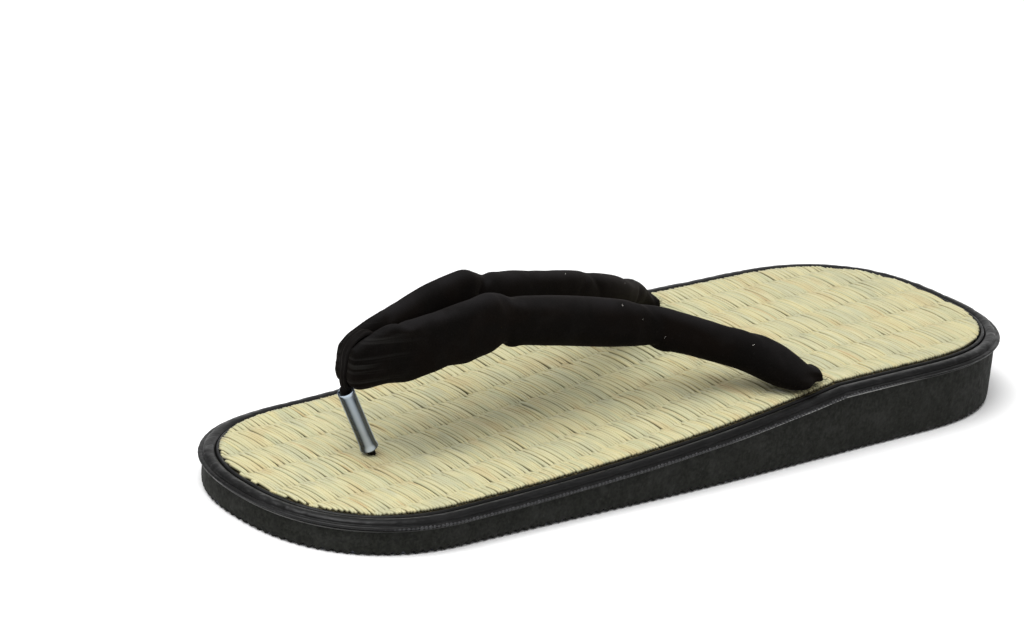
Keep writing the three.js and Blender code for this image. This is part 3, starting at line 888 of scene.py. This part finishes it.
def weave_tree():
    """Rows of arched stalks. Each stalk crosses one row and dips under the warp cord at both ends."""
    graph, start = geometry_tree("Rush weave", {
        "Wall": "Object", "Row Pitch": 0.0128, "Row Offset": 0.0, "Rows": 8, "Stalk Pitch": 0.00142,
        "Stalk Count": 190, "Stalk Width": 0.0016, "Stalk Thickness": 0.001, "Tuck": 0.0009, "Arch": 0.0007,
        "Toe Height": 0.011, "Heel Height": 0.022, "Ramp Toe": 0.11, "Ramp Heel": -0.05, "Seed": 7})
    pitch, seed, wall = start["Row Pitch"], start["Seed"], start["Wall"]
    points = graph.shape("Points", {"Count": start["Rows"] * start["Stalk Count"]})
    index = graph.shape("InputIndex")
    row = math.floor(index / start["Stalk Count"])
    stalk = index % start["Stalk Count"]
    row_x = (row - (start["Rows"] - 1.0) / 2.0) * pitch + start["Row Offset"]
    shift = row % 2.0 * 0.5 + random_value(graph, -0.24, 0.24, seed)
    line_y = (stalk - start["Stalk Count"] / 2.0 + shift) * start["Stalk Pitch"]
    half_row = pitch * 0.5 + start["Tuck"]
    right_hit, right_reach = reach_to_wall(graph, wall, line_y, 1)
    left_hit, left_reach = reach_to_wall(graph, wall, line_y, -1)
    marks = {
        "row_x": row_x,
        "line_y": line_y,
        "low": graph.math("MAXIMUM", row_x - half_row, left_reach * -1.0),
        "high": graph.math("MINIMUM", row_x + half_row, right_reach),
        "width": random_value(graph, 0.8, 1.2, seed + 1.0),
        "tone": random_value(graph, 0.0, 1.0, seed + 2.0),
        "slant": random_value(graph, -0.03, 0.05, seed + 3.0),
        "lift": random_value(graph, -0.00012, 0.00012, seed + 4.0),
        "shown": right_hit * left_hit,
    }
    for name, value in marks.items():
        points = remember(graph, points, name, value)
    mark = {name: named(graph, name) for name in marks}
    too_short = (mark["high"] - mark["low"]) < 0.001
    points = delete_points(graph, points, graph.math("MAXIMUM", too_short, 1.0 - mark["shown"]))
    rod = graph.shape("MeshCylinder", {"Vertices": 6, "Side Segments": 6, "Fill Segments": 1, "Radius": 1.0,
                                       "Depth": 1.0})
    stalks = graph.shape("InstanceOnPoints", {"Points": points, "Instance": rod})
    across, through, along = graph.parts(graph.shape("InputPosition"))
    shape = remember(graph, graph.shape("RealizeInstances", {0: stalks}), "across", across)
    x = (along + 0.5) * (mark["high"] - mark["low"]) + mark["low"]
    from_row = x - mark["row_x"]
    fall = abs(from_row / (pitch * 0.5)) ** 2.0
    half_width = start["Stalk Width"] * 0.5 * (mark["width"] * graph.span(fall, 0.35, 1.2, 1.0, 0.62))
    y = across * half_width + mark["line_y"] + from_row * mark["slant"]
    ramp = graph.span(y, start["Ramp Toe"], start["Ramp Heel"])
    base = ramp ** 2.0 * (start["Heel Height"] - start["Toe Height"]) + start["Toe Height"]
    arch = start["Arch"] * (0.5 - fall)
    rise = start["Stalk Thickness"] * 0.5 * (through - 1.0)
    from_edge = graph.shape("Proximity", {0: object_shape(graph, wall),
                                          "Source Position": graph.vector(x, y, 0.02)}, "Distance")
    edge = graph.span(from_edge, 0.0, 0.0008, -0.0002, 0.0, smooth=True)
    z = base + arch + (rise + edge + mark["lift"])
    shape = graph.shape("SetPosition", {"Geometry": shape, "Position": graph.vector(x, y, z)})
    for name in marks:
        if name != "tone":
            shape = graph.shape("RemoveAttribute", {0: shape, "Name": name})
    return close_tree(graph, start, shape)


def tread_tree():
    """Three-sided studs on a staggered grid, kept where they lie inside the outline."""
    graph, start = geometry_tree("Tread studs", {
        "Wall": "Object", "Floor": "Object", "Pitch": 0.0034, "Height": 0.0011, "Base Height": 0.00115,
        "Margin": 0.0008, "Columns": 30, "Lines": 98})
    pitch, columns, lines = start["Pitch"], start["Columns"], start["Lines"]
    points = graph.shape("Points", {"Count": columns * lines})
    index = graph.shape("InputIndex")
    line = math.floor(index / columns)
    x = (index % columns - columns / 2.0 + line % 2.0 * 0.5) * pitch
    y = (line - lines / 2.0) * (pitch * (math.sqrt(3) / 2))
    spot = graph.vector(x, y, start["Base Height"])
    points = graph.shape("SetPosition", {"Geometry": points, "Position": spot})
    place = graph.shape("InputPosition")
    flat = graph.parts(place)
    wall = object_shape(graph, start["Wall"])
    near = graph.shape("Proximity", {0: wall, "Source Position": place}, "Distance")
    inside = graph.shape("Raycast", {
        "Target Geometry": object_shape(graph, start["Floor"]), "Ray Direction": (0, 0, 1), "Ray Length": 1.0,
        "Source Position": graph.vector(flat[0], flat[1], -0.5)}, "Is Hit")
    spare = near < pitch / 2.0 + start["Margin"]
    points = delete_points(graph, points, graph.math("MAXIMUM", 1.0 - inside, spare))
    stud = graph.shape("MeshCone", {
        "Vertices": 3, "Side Segments": 1, "Fill Segments": 1, "Radius Top": 0.00018,
        "Radius Bottom": pitch * 0.6, "Depth": start["Height"]}, "Mesh")
    studs = graph.shape("InstanceOnPoints", {"Points": points, "Instance": stud,
                                             "Rotation": (math.pi, 0, math.radians(90))})
    return close_tree(graph, start, studs, smooth=False)


def gather_tree():
    """Small upright gathers in the vinyl where it turns under the rim, fading out at toe and heel."""
    graph, start = geometry_tree("Rim gathers", {
        "Pitch": 0.0013, "Width": 0.0008, "Height": 0.00125, "Depth": 0.001, "Toe End": 0.11,
        "Heel End": -0.06, "Seed": 3})
    path = graph.shape("MeshToCurve", {0: start["Geometry"]})
    even = graph.shape("ResampleCurve", {"Curve": path, "Length": start["Pitch"]}, mode="LENGTH")
    spots = graph.wires(graph.add("GeometryNodeCurveToPoints", {"Curve": even}, mode="EVALUATED"))
    y = graph.parts(graph.shape("InputPosition"))[1]
    toe = graph.span(y, start["Toe End"] + 0.018, start["Toe End"], smooth=True)
    heel = graph.span(y, start["Heel End"] - 0.03, start["Heel End"], smooth=True)
    scale = toe * heel * random_value(graph, 0.8, 1.1, start["Seed"])
    kept = delete_points(graph, spots["Points"], scale < 0.12)
    ball = graph.shape("MeshUVSphere", {"Segments": 8, "Rings": 5, "Radius": 0.5})
    size = graph.vector(start["Width"], start["Depth"], start["Height"])
    ribs = graph.shape("InstanceOnPoints", {
        "Points": kept, "Instance": graph.shape("Transform", {"Geometry": ball, "Scale": size}),
        "Rotation": spots["Rotation"], "Scale": graph.vector(scale, scale, scale)})
    return close_tree(graph, start, ribs)


def lint_tree():
    """Short curled fibres scattered on cloth."""
    graph, start = geometry_tree("Lint", {
        "Cloth": "Object", "Density": 1500.0, "Length": 0.0009, "Thickness": 0.00005, "Seed": 5})
    seed = start["Seed"]
    spots = graph.wires(graph.add("GeometryNodeDistributePointsOnFaces", {
        "Mesh": object_shape(graph, start["Cloth"]), "Density": start["Density"], "Seed": seed}))
    arc = graph.shape("CurveArc", {"Resolution": 6, "Radius": start["Length"], "Sweep Angle": 1.4})
    ring = graph.shape("CurvePrimitiveCircle", {"Resolution": 4, "Radius": start["Thickness"]})
    fibre = graph.shape("CurveToMesh", {"Curve": arc, "Profile Curve": ring, "Fill Caps": True})
    spin = graph.vector(0.0, 0.0, random_value(graph, 0.0, 6.283, seed + 1.0))
    turned = graph.wire("FunctionNodeRotateRotation", {
        0: spots["Rotation"],
        1: graph.wire("FunctionNodeEulerToRotation", {0: spin})}, rotation_space="LOCAL")
    size = random_value(graph, 0.25, 1.0, seed + 2.0)
    bits = graph.shape("InstanceOnPoints", {"Points": spots["Points"], "Instance": fibre, "Rotation": turned,
                                            "Scale": graph.vector(size, size, size)})
    return close_tree(graph, start, bits)


# ------------------------------------------------------------------ the straps' shape

def between(column, place):
    """Smooth values between the strap's rows, at place (0 to the last row)."""
    values = STRAP_ROWS[:, STRAP_COLUMNS.index(column)]
    row = np.clip(np.floor(place).astype(int), 0, STRAP_LAST - 1)
    near = [values[np.clip(row + step, 0, STRAP_LAST)] for step in (-1, 0, 1, 2)]
    return glide(*near, place - row)[0]


def strap_places():
    """Places along the strap in nearly even steps."""
    dense = np.linspace(0, STRAP_LAST, 2000)
    height = (between("low", dense) + between("high", dense)) / 2
    run = run_along(np.stack([between("x", dense), between("y", dense), height], -1))
    count = int(round(run[-1] / STRAP_STEP)) + 1
    return np.interp(np.linspace(0, run[-1], count), run, dense)


def strap_ring(place, side, scale=1.0, push=0.0):
    """One section of a strap, in millimetres."""
    ahead = min(place + 0.01, STRAP_LAST)
    behind = max(place - 0.01, 0)
    run = np.array([between(axis, ahead) - between(axis, behind) for axis in "xy"])
    run /= np.linalg.norm(run)
    low = between("low", place)
    high = between("high", place)
    if side > 0:
        high += between("lift", place)
    half_rise = (high - low) / 2 * scale
    half_thick = between("thick", place) / 2 * scale
    lean = math.radians(between("lean", place))
    half_tall = math.sqrt(max(half_rise ** 2 - (half_thick * math.sin(lean)) ** 2, 0.04)) / math.cos(lean)
    turn = turns(STRAP_SIDES)
    across = half_thick * np.sign(np.cos(turn)) * np.abs(np.cos(turn)) ** (2 / STRAP_ROUNDNESS)
    along = half_tall * np.sign(np.sin(turn)) * np.abs(np.sin(turn)) ** (2 / STRAP_ROUNDNESS)
    out = across * math.cos(lean) - along * math.sin(lean)
    up = along * math.cos(lean) + across * math.sin(lean)
    x = between("x", place) - run[1] * out + run[0] * push
    y = between("y", place) + run[0] * out + run[1] * push
    return np.column_stack([side * x, y, (high + low) / 2 + up])


def strap_relief(points, name):
    """How far the cloth stands out of the plain section: creases, pleats at the nose, soft unevenness."""
    y = points[..., 1]
    turn = np.broadcast_to(turns(STRAP_SIDES), y.shape)
    push = np.zeros_like(y)
    for at, degrees, width, reach, depth, slant in CREASES[name]:
        around = (turn - math.radians(degrees) + math.pi) % (2 * math.pi) - math.pi
        push += depth * bell(y - at - slant * around, width) * bell(around, reach)
    outer = np.clip(np.cos(turn), 0, 1) ** 0.5
    for height, run, depth in PLEATS:
        fade = soft_step((y - (PLEAT_START - run)) / run)
        off_line = points[..., 2] - height - (PLEAT_START - y) * 0.05
        push -= depth * fade * bell(off_line, 0.75) * outer
    seed = 11.0 if name == "left" else 47.0
    push += 0.45 * unevenness(points, (0.08, 0.06, 0.08), (seed, 0, 0))
    push += 0.14 * unevenness(points, (0.25, 0.2, 0.25), (0, seed, 0))
    return push


def strap_mesh(name, material):
    side = SIDES[name]
    places = strap_places()
    rings = [strap_ring(places[0], side, *end) for end in STRAP_NOSE]
    rings += [strap_ring(place, side) for place in places]
    rings += [strap_ring(places[-1], side, *end) for end in STRAP_TAIL]
    points = np.array(rings)
    out = points - points.mean(axis=1, keepdims=True)
    out /= np.linalg.norm(out, axis=2, keepdims=True)
    points += out * strap_relief(points, name)[..., None]
    for place, move, reach in STRAP_PULLS[name]:
        away = np.linalg.norm(points - place, axis=-1)
        points += np.array(move) * bell(away, reach)[..., None]
    faces = tube_faces(len(rings), STRAP_SIDES)
    tip = len(rings) * STRAP_SIDES
    end = tip - STRAP_SIDES
    for i in range(STRAP_SIDES):
        j = (i + 1) % STRAP_SIDES
        faces += [(tip, j, i), (tip + 1, end + i, end + j)]
    tips = [points[0].mean(axis=0), points[-1].mean(axis=0)]
    flat = np.vstack([points.reshape(-1, 3), *tips])
    return face_outwards(mesh_object("strap_" + name, flat, faces, material))


def swell(piece, limit):
    """Lets the padding push the velvet out, as cloth under pressure, by no more than the limit."""
    rest = np.array([v.co for v in piece.data.vertices])
    cloth = piece.modifiers.new("Padding", "CLOTH")
    cloth.settings.use_pressure = True
    cloth.settings.uniform_pressure_force = 4.0
    cloth.settings.tension_stiffness = 12
    cloth.settings.bending_stiffness = 0.6
    cloth.settings.effector_weights.gravity = 0.0
    cloth.settings.quality = 4
    cloth.point_cache.frame_start = 1
    cloth.point_cache.frame_end = CLOTH_FRAMES
    for step in range(CLOTH_FRAMES):
        bpy.context.scene.frame_set(step + 1)
    bake_modifiers(piece)
    bpy.context.scene.frame_set(1)
    moved = np.array([v.co for v in piece.data.vertices]) - rest
    far = np.linalg.norm(moved, axis=1, keepdims=True)
    moved *= np.minimum(1.0, limit / np.maximum(far, 1e-9))
    piece.data.vertices.foreach_set("co", (rest + moved).ravel())
    piece.data.update()


def sleeve_ring(height, radius, sides):
    """Points round the sleeve's own axis, this high above its foot, with one radius or one for each."""
    side = np.array((1, 0, 0))
    along = np.array((SLEEVE_HEAD - SLEEVE_FOOT).normalized())
    turn = turns(sides)
    sideways = np.outer(np.cos(turn) * radius, side)
    forwards = np.outer(np.sin(turn) * radius, np.cross(along, side))
    return np.array(SLEEVE_FOOT) + along * height + sideways + forwards


# ------------------------------------------------------------------ operators

class ZORI_OT_stage(bpy.types.Operator):
    """Lays the pale floor, hangs the soft lights and stands the camera."""
    bl_idname = "zori.stage"
    bl_label = "Stage"

    def execute(self, context):
        settings = context.scene.zori_stage
        corners = [(x, y, 0) for x, y in ((-1, -1), (1, -1), (1, 1), (-1, 1))]
        paper = plain_finish("floor_paper", 30.0, settings.floor, [c * 0.985 for c in settings.floor])
        floor = mesh_object("floor", np.array(corners) * FLOOR_HALF_SIZE / MM, [(0, 1, 2, 3)], paper)
        world = bpy.data.worlds.new("studio")
        world.use_nodes = True
        background = world.node_tree.nodes["Background"]
        background.inputs["Color"].default_value = (1.0, 1.0, 1.0, 1)
        background.inputs["Strength"].default_value = SKY_STRENGTH
        context.scene.world = world
        for name, lamp in LAMPS.items():
            self.softbox(name, *lamp)
        self.camera(context.scene, settings)
        context.scene.view_settings.view_transform = "Standard"
        return {"FINISHED"}

    def softbox(self, name, place, aim, width, depth, power):
        light = bpy.data.lights.new(name, "AREA")
        light.shape = "RECTANGLE"
        light.size = width
        light.size_y = depth
        light.energy = power
        lamp = new_object(name, light)
        lamp.location = place
        lamp.rotation_euler = (Vector(aim) - Vector(place)).to_track_quat("-Z", "Y").to_euler()

    def camera(self, scene, settings):
        level = math.cos(settings.elevation)
        back = Vector((math.sin(settings.azimuth) * level, -math.cos(settings.azimuth) * level,
                       math.sin(settings.elevation)))
        right = (-back).cross(Vector((0, 0, 1))).normalized()
        up = right.cross(-back).normalized()
        turn = math.cos(settings.roll)
        lift = math.sin(settings.roll)
        right, up = right * turn + up * lift, up * turn - right * lift
        data = bpy.data.cameras.new("camera")
        data.lens = settings.lens
        data.sensor_width = 36.0
        camera = new_object("camera", data)
        place = CAMERA_AIM + back * settings.distance + right * settings.slide + up * settings.rise
        camera.matrix_world = Matrix.Translation(place) @ Matrix((right, up, back)).transposed().to_4x4()
        scene.camera = camera


class ZORI_OT_sole(bpy.types.Operator):
    """Makes the foam sole with its moulded lip."""
    bl_idname = "zori.sole"
    bl_label = "Foam sole"

    def execute(self, context):
        sole = sole_piece("foam_sole", FOAM_LINES, foam_finish(context.scene.zori_sole), self.scallop)
        finish_piece(sole, "foam_rubber", "outsole")
        lip = sole_piece("wall_lip", LIP_LINES, lip_finish(), self.waver, band=True)
        finish_piece(lip, "foam_rubber")
        return {"FINISHED"}

    def scallop(self, line, ring):
        """The moulded tread shows as small scallops along the bottom edge."""
        if line < SCALLOPED_LINES:
            share = math.sin(math.pi * (line + 1) / (SCALLOPED_LINES + 1))
            waves = round(run_along(np.vstack([ring, ring[:1]])[:, :2])[-1] / SCALLOP_PITCH)
            ring[:, 2] += SCALLOP_DEPTH * share * np.cos(turns(len(ring)) * waves)
            ring[:, 2] = np.maximum(ring[:, 2], 0.08)
        return ring

    def waver(self, line, ring):
        """The lip's skin is a little uneven."""
        ring[:, 2] += 0.12 * unevenness(ring, (0.05, 0.05, 0), (0, 0, 1))
        return ring


class ZORI_OT_tread(bpy.types.Operator):
    """Covers the underside with small three-sided studs."""
    bl_idname = "zori.tread"
    bl_label = "Tread"

    def execute(self, context):
        settings = context.scene.zori_sole
        wall = outline_wall("tread_wall", TREAD_EDGE, 0, -2, 6)
        floor = mesh_object("tread_floor", sole_ring(TREAD_EDGE, 0, "z"), cap_faces(0, True), smooth=False)
        tread = run_tree(seed_object("tread"), tread_tree(), {
            "Wall": wall, "Floor": floor, "Pitch": settings.tread_pitch, "Height": settings.tread_height,
            "Base Height": settings.tread_height, "Margin": -0.4 * MM, "Material": tread_finish(settings)})
        bpy.data.objects.remove(wall)
        bpy.data.objects.remove(floor)
        finish_piece(tread, "foam_rubber")
        return {"FINISHED"}


class ZORI_OT_rim(bpy.types.Operator):
    """Rolls the vinyl over the edge of the sole and gathers it underneath."""
    bl_idname = "zori.rim"
    bl_label = "Vinyl rim"

    def execute(self, context):
        settings = context.scene.zori_sole
        rim = sole_piece("vinyl_rim", RIM_LINES, vinyl_finish("vinyl", settings.vinyl, 0.38), self.crease)
        finish_piece(rim, "vinyl", "footbed")
        # The gathers get a lighter copy of the vinyl, painted light for the light they catch.
        gathered = vinyl_finish("vinyl_gathers", settings.gathers, 0.3)
        mesh = bpy.data.meshes.new("rim_gathers")
        edges = [(i, (i + 1) % ROUND) for i in range(ROUND)]
        mesh.from_pydata((sole_ring(*GATHER_LINE) * MM).tolist(), edges, [])
        gathers = run_tree(new_object("rim_gathers", mesh), gather_tree(),
                           {"Pitch": settings.rib_pitch, "Material": gathered})
        finish_piece(gathers, "vinyl")
        return {"FINISHED"}

    def crease(self, line, ring):
        """Slight waves along the roll, and short dents where the vinyl was pulled tight."""
        share = math.sin(math.pi * line / (len(RIM_LINES) - 1)) ** 0.7
        if line < RIM_GROOVE_LINE:
            share *= 0.4
        wave = unevenness(ring, (0.09, 0.09, 0), (0, 0, 3))
        dent = np.minimum(unevenness(ring, (0.45, 0.45, 0), (0, 0, line * 0.06)), 0.12)
        away = ring[:, :2] / np.linalg.norm(ring[:, :2], axis=1)[:, None]
        move = share * (0.18 * wave + 0.3 * dent - 0.06)
        ring[:, :2] += away * np.minimum(move, 0.1)[:, None]
        ring[:, 2] += 0.4 * move
        return ring


class ZORI_OT_piping(bpy.types.Operator):
    """Lays the narrow piping between the rim and the mat."""
    bl_idname = "zori.piping"
    bl_label = "Piping"

    def execute(self, context):
        vinyl = vinyl_finish("piping", context.scene.zori_sole.vinyl, 0.42)
        finish_piece(sole_piece("piping", PIPING_LINES, vinyl, band=True), "piping", "binding")
        return {"FINISHED"}


class ZORI_OT_mat(bpy.types.Operator):
    """Weaves the rush mat, stalk by stalk, over its dark backing."""
    bl_idname = "zori.mat"
    bl_label = "Rush mat"

    def execute(self, context):
        settings = context.scene.zori_mat
        finish_piece(sole_piece("mat_backing", MAT_LINES, backing_finish()), "rush")
        wall = outline_wall("mat_wall", MAT_EDGE, MAT_SHIFT, -10, 60)
        mat = run_tree(seed_object("rush_mat"), weave_tree(), {
            "Wall": wall, "Row Pitch": settings.row_pitch, "Row Offset": settings.row_offset,
            "Rows": MAT_ROWS, "Stalk Pitch": settings.stalk_pitch,
            "Stalk Count": int(2 * (HALF_LENGTH - MAT_EDGE) * MM / settings.stalk_pitch) + 2,
            "Stalk Width": settings.stalk_width, "Arch": settings.arch, "Seed": settings.seed,
            "Toe Height": TOE_HEIGHT * MM, "Heel Height": HEEL_HEIGHT * MM, "Ramp Toe": RAMP_TOE * MM,
            "Ramp Heel": RAMP_HEEL * MM, "Material": rush_finish(settings)})
        bpy.data.objects.remove(wall)
        finish_piece(mat, "rush", "mat")
        return {"FINISHED"}


class ZORI_OT_straps(bpy.types.Operator):
    """Pads the two velvet straps, with their folds, pleats and ends."""
    bl_idname = "zori.straps"
    bl_label = "Velvet straps"

    def execute(self, context):
        settings = context.scene.zori_strap
        velvet = velvet_finish(settings)
        for name in SIDES:
            strap = strap_mesh(name, velvet)
            swell(strap, settings.swell_limit)
            subdivide(strap)
            finish_piece(strap, "velvet", *(["upper"] if name == "left" else []))
        return {"FINISHED"}


class ZORI_OT_lint(bpy.types.Operator):
    """Drops a few bits of lint on the velvet, and lets stray fibres out of the strap's end."""
    bl_idname = "zori.lint"
    bl_label = "Lint and stray fibres"

    def execute(self, context):
        pale = plain_finish("lint", 900.0, (0.5, 0.47, 0.42), (0.75, 0.74, 0.7))
        tree = lint_tree()
        for name, seed in (("left", 5), ("right", 8)):
            lint = run_tree(seed_object("lint_" + name), tree, {
                "Cloth": bpy.data.objects["strap_" + name], "Seed": seed, "Material": pale})
            finish_piece(lint, "velvet")
        for name, seed in (("left", 21), ("right", 34)):
            finish_piece(self.fibres(name, seed), "velvet")
        return {"FINISHED"}

    def fibres(self, name, seed):
        """Thin curved fibres that lie on the mat round the strap's end."""
        side = SIDES[name]
        draw = np.random.default_rng(seed)
        points, faces = [], []
        for _ in range(FIBRE_COUNT):
            start = Vector((side * draw.uniform(33.5, 39.5), draw.uniform(-45.2, -43.6), 0))
            turn = draw.normal(-1.45 - 0.25 * side, 0.35)
            reach = draw.uniform(2.0, 6.0)
            heading = Vector((math.cos(turn), math.sin(turn), 0))
            across = Vector((-heading.y, heading.x, 0))
            first = len(points)
            for share in np.linspace(0, 1, FIBRE_RINGS):
                centre = start + heading * reach * share + across * 0.5 * share * share * draw.normal()
                centre.z = float(mat_height(centre.y)) + 0.55 + (1 - share) ** 2
                radius = FIBRE_RADIUS * (1 - 0.75 * share)
                for outwards, upwards in ((1, -0.5), (0, 1), (-1, -0.5)):
                    points.append(centre + across * radius * outwards + Vector((0, 0, radius * upwards)))
            faces += [tuple(first + i for i in face) for face in tube_faces(FIBRE_RINGS, 3)]
            last = len(points)
            faces += [(first + 2, first + 1, first), (last - 3, last - 2, last - 1)]
        return face_outwards(mesh_object("fibres_" + name, points, faces, bpy.data.materials["velvet"]))


class ZORI_OT_loop(bpy.types.Operator):
    """Makes the cloth loop that holds the nose, and the twisted ends that run down to the sole."""
    bl_idname = "zori.loop"
    bl_label = "Toe loop"

    def execute(self, context):
        ribbon = ribbon_finish(context.scene.zori_strap)
        finish_piece(self.band(ribbon), "ribbon", "toe_loop")
        finish_piece(self.ends(ribbon), "ribbon")
        return {"FINISHED"}

    def band(self, ribbon):
        """A flat ribbon with soft pleats along it, round the nose."""
        share = np.linspace(-1, 1, LOOP_POINTS_ACROSS)
        rings = []
        for i in range(LOOP_STEPS):
            place = i / LOOP_STEPS * len(LOOP_ROWS)
            near = [LOOP_ROWS[(int(place) + step) % len(LOOP_ROWS)] for step in (-1, 0, 1, 2)]
            (y, z, width), slope = glide(*near, place - int(place))
            out = np.array([slope[1], -slope[0]]) / np.hypot(slope[0], slope[1])
            pleat = 0.16 * np.cos(share * 7.5 + 0.7 * math.sin(i * 0.21)) - 0.25 * share ** 2
            for face in (1, -1):
                thick = face * LOOP_THICKNESS / 2 + pleat
                line = np.column_stack([share * width / 2, y + out[0] * thick, z + out[1] * thick])
                rings.append(line[::face])
        faces = tube_faces(LOOP_STEPS, 2 * LOOP_POINTS_ACROSS, True)
        return subdivide(face_outwards(mesh_object("toe_loop_cloth", rings, faces, ribbon)))

    def ends(self, ribbon):
        """The loop's two ends, twisted together inside the sleeve."""
        rings = []
        heights = np.linspace(-CORD_BELOW_SLEEVE, SLEEVE_LENGTH + CORD_ABOVE_SLEEVE, CORD_STEPS + 1)
        for i, height in enumerate(heights):
            closing = 0.45 if i in (0, CORD_STEPS) else 1.0
            radius = closing * (1.18 + 0.22 * np.cos(2 * turns(CORD_SIDES) + i / CORD_STEPS * 11))
            rings.append(sleeve_ring(height, radius, CORD_SIDES))
        faces = tube_faces(len(rings), CORD_SIDES)
        faces.append(range(CORD_SIDES)[::-1])
        faces.append(range(CORD_STEPS * CORD_SIDES, (CORD_STEPS + 1) * CORD_SIDES))
        return face_outwards(mesh_object("toe_cord", rings, faces, ribbon))


class ZORI_OT_sleeve(bpy.types.Operator):
    """Makes the clear sleeve on the toe loop, with its flared foot."""
    bl_idname = "zori.sleeve"
    bl_label = "Clear sleeve"

    def execute(self, context):
        rings = [sleeve_ring(height, radius, SLEEVE_SIDES) for radius, height in SLEEVE_PROFILE]
        faces = tube_faces(len(rings), SLEEVE_SIDES, True)
        sleeve = face_outwards(mesh_object("clear_sleeve", rings, faces, plastic_finish()))
        finish_piece(sleeve, "clear_plastic", "toe_sleeve")
        return {"FINISHED"}


class ZORI_PT_panel(bpy.types.Panel):
    """Lists the sandal's pieces and their settings."""
    bl_idname = "ZORI_PT_panel"
    bl_label = "Zori sandal"
    bl_space_type = "VIEW_3D"
    bl_region_type = "UI"
    bl_category = "Zori"

    def draw(self, context):
        for operator in OPERATORS:
            self.layout.operator(operator.bl_idname)
        for name in SETTINGS:
            settings = getattr(context.scene, name)
            box = self.layout.box()
            for key in settings.bl_rna.properties.keys():
                if key not in {"rna_type", "name"}:
                    box.prop(settings, key)


SETTINGS = {"zori_sole": SoleSettings, "zori_mat": MatSettings, "zori_strap": StrapSettings,
            "zori_stage": StageSettings}
OPERATORS = (ZORI_OT_stage, ZORI_OT_sole, ZORI_OT_tread, ZORI_OT_rim, ZORI_OT_piping, ZORI_OT_mat,
             ZORI_OT_straps, ZORI_OT_lint, ZORI_OT_loop, ZORI_OT_sleeve)


def register():
    for item in (*SETTINGS.values(), *OPERATORS, ZORI_PT_panel):
        bpy.utils.register_class(item)
    for name, kind in SETTINGS.items():
        setattr(bpy.types.Scene, name, PointerProperty(type=kind))


def unregister():
    for name in SETTINGS:
        delattr(bpy.types.Scene, name)
    for item in (ZORI_PT_panel, *OPERATORS[::-1], *list(SETTINGS.values())[::-1]):
        bpy.utils.unregister_class(item)


def main():
    register()
    for operator in OPERATORS:
        group, action = operator.bl_idname.split(".")
        if getattr(getattr(bpy.ops, group), action)() != {"FINISHED"}:
            raise RuntimeError(f"{operator.bl_label} could not be made")


if __name__ == "__main__":
    main()
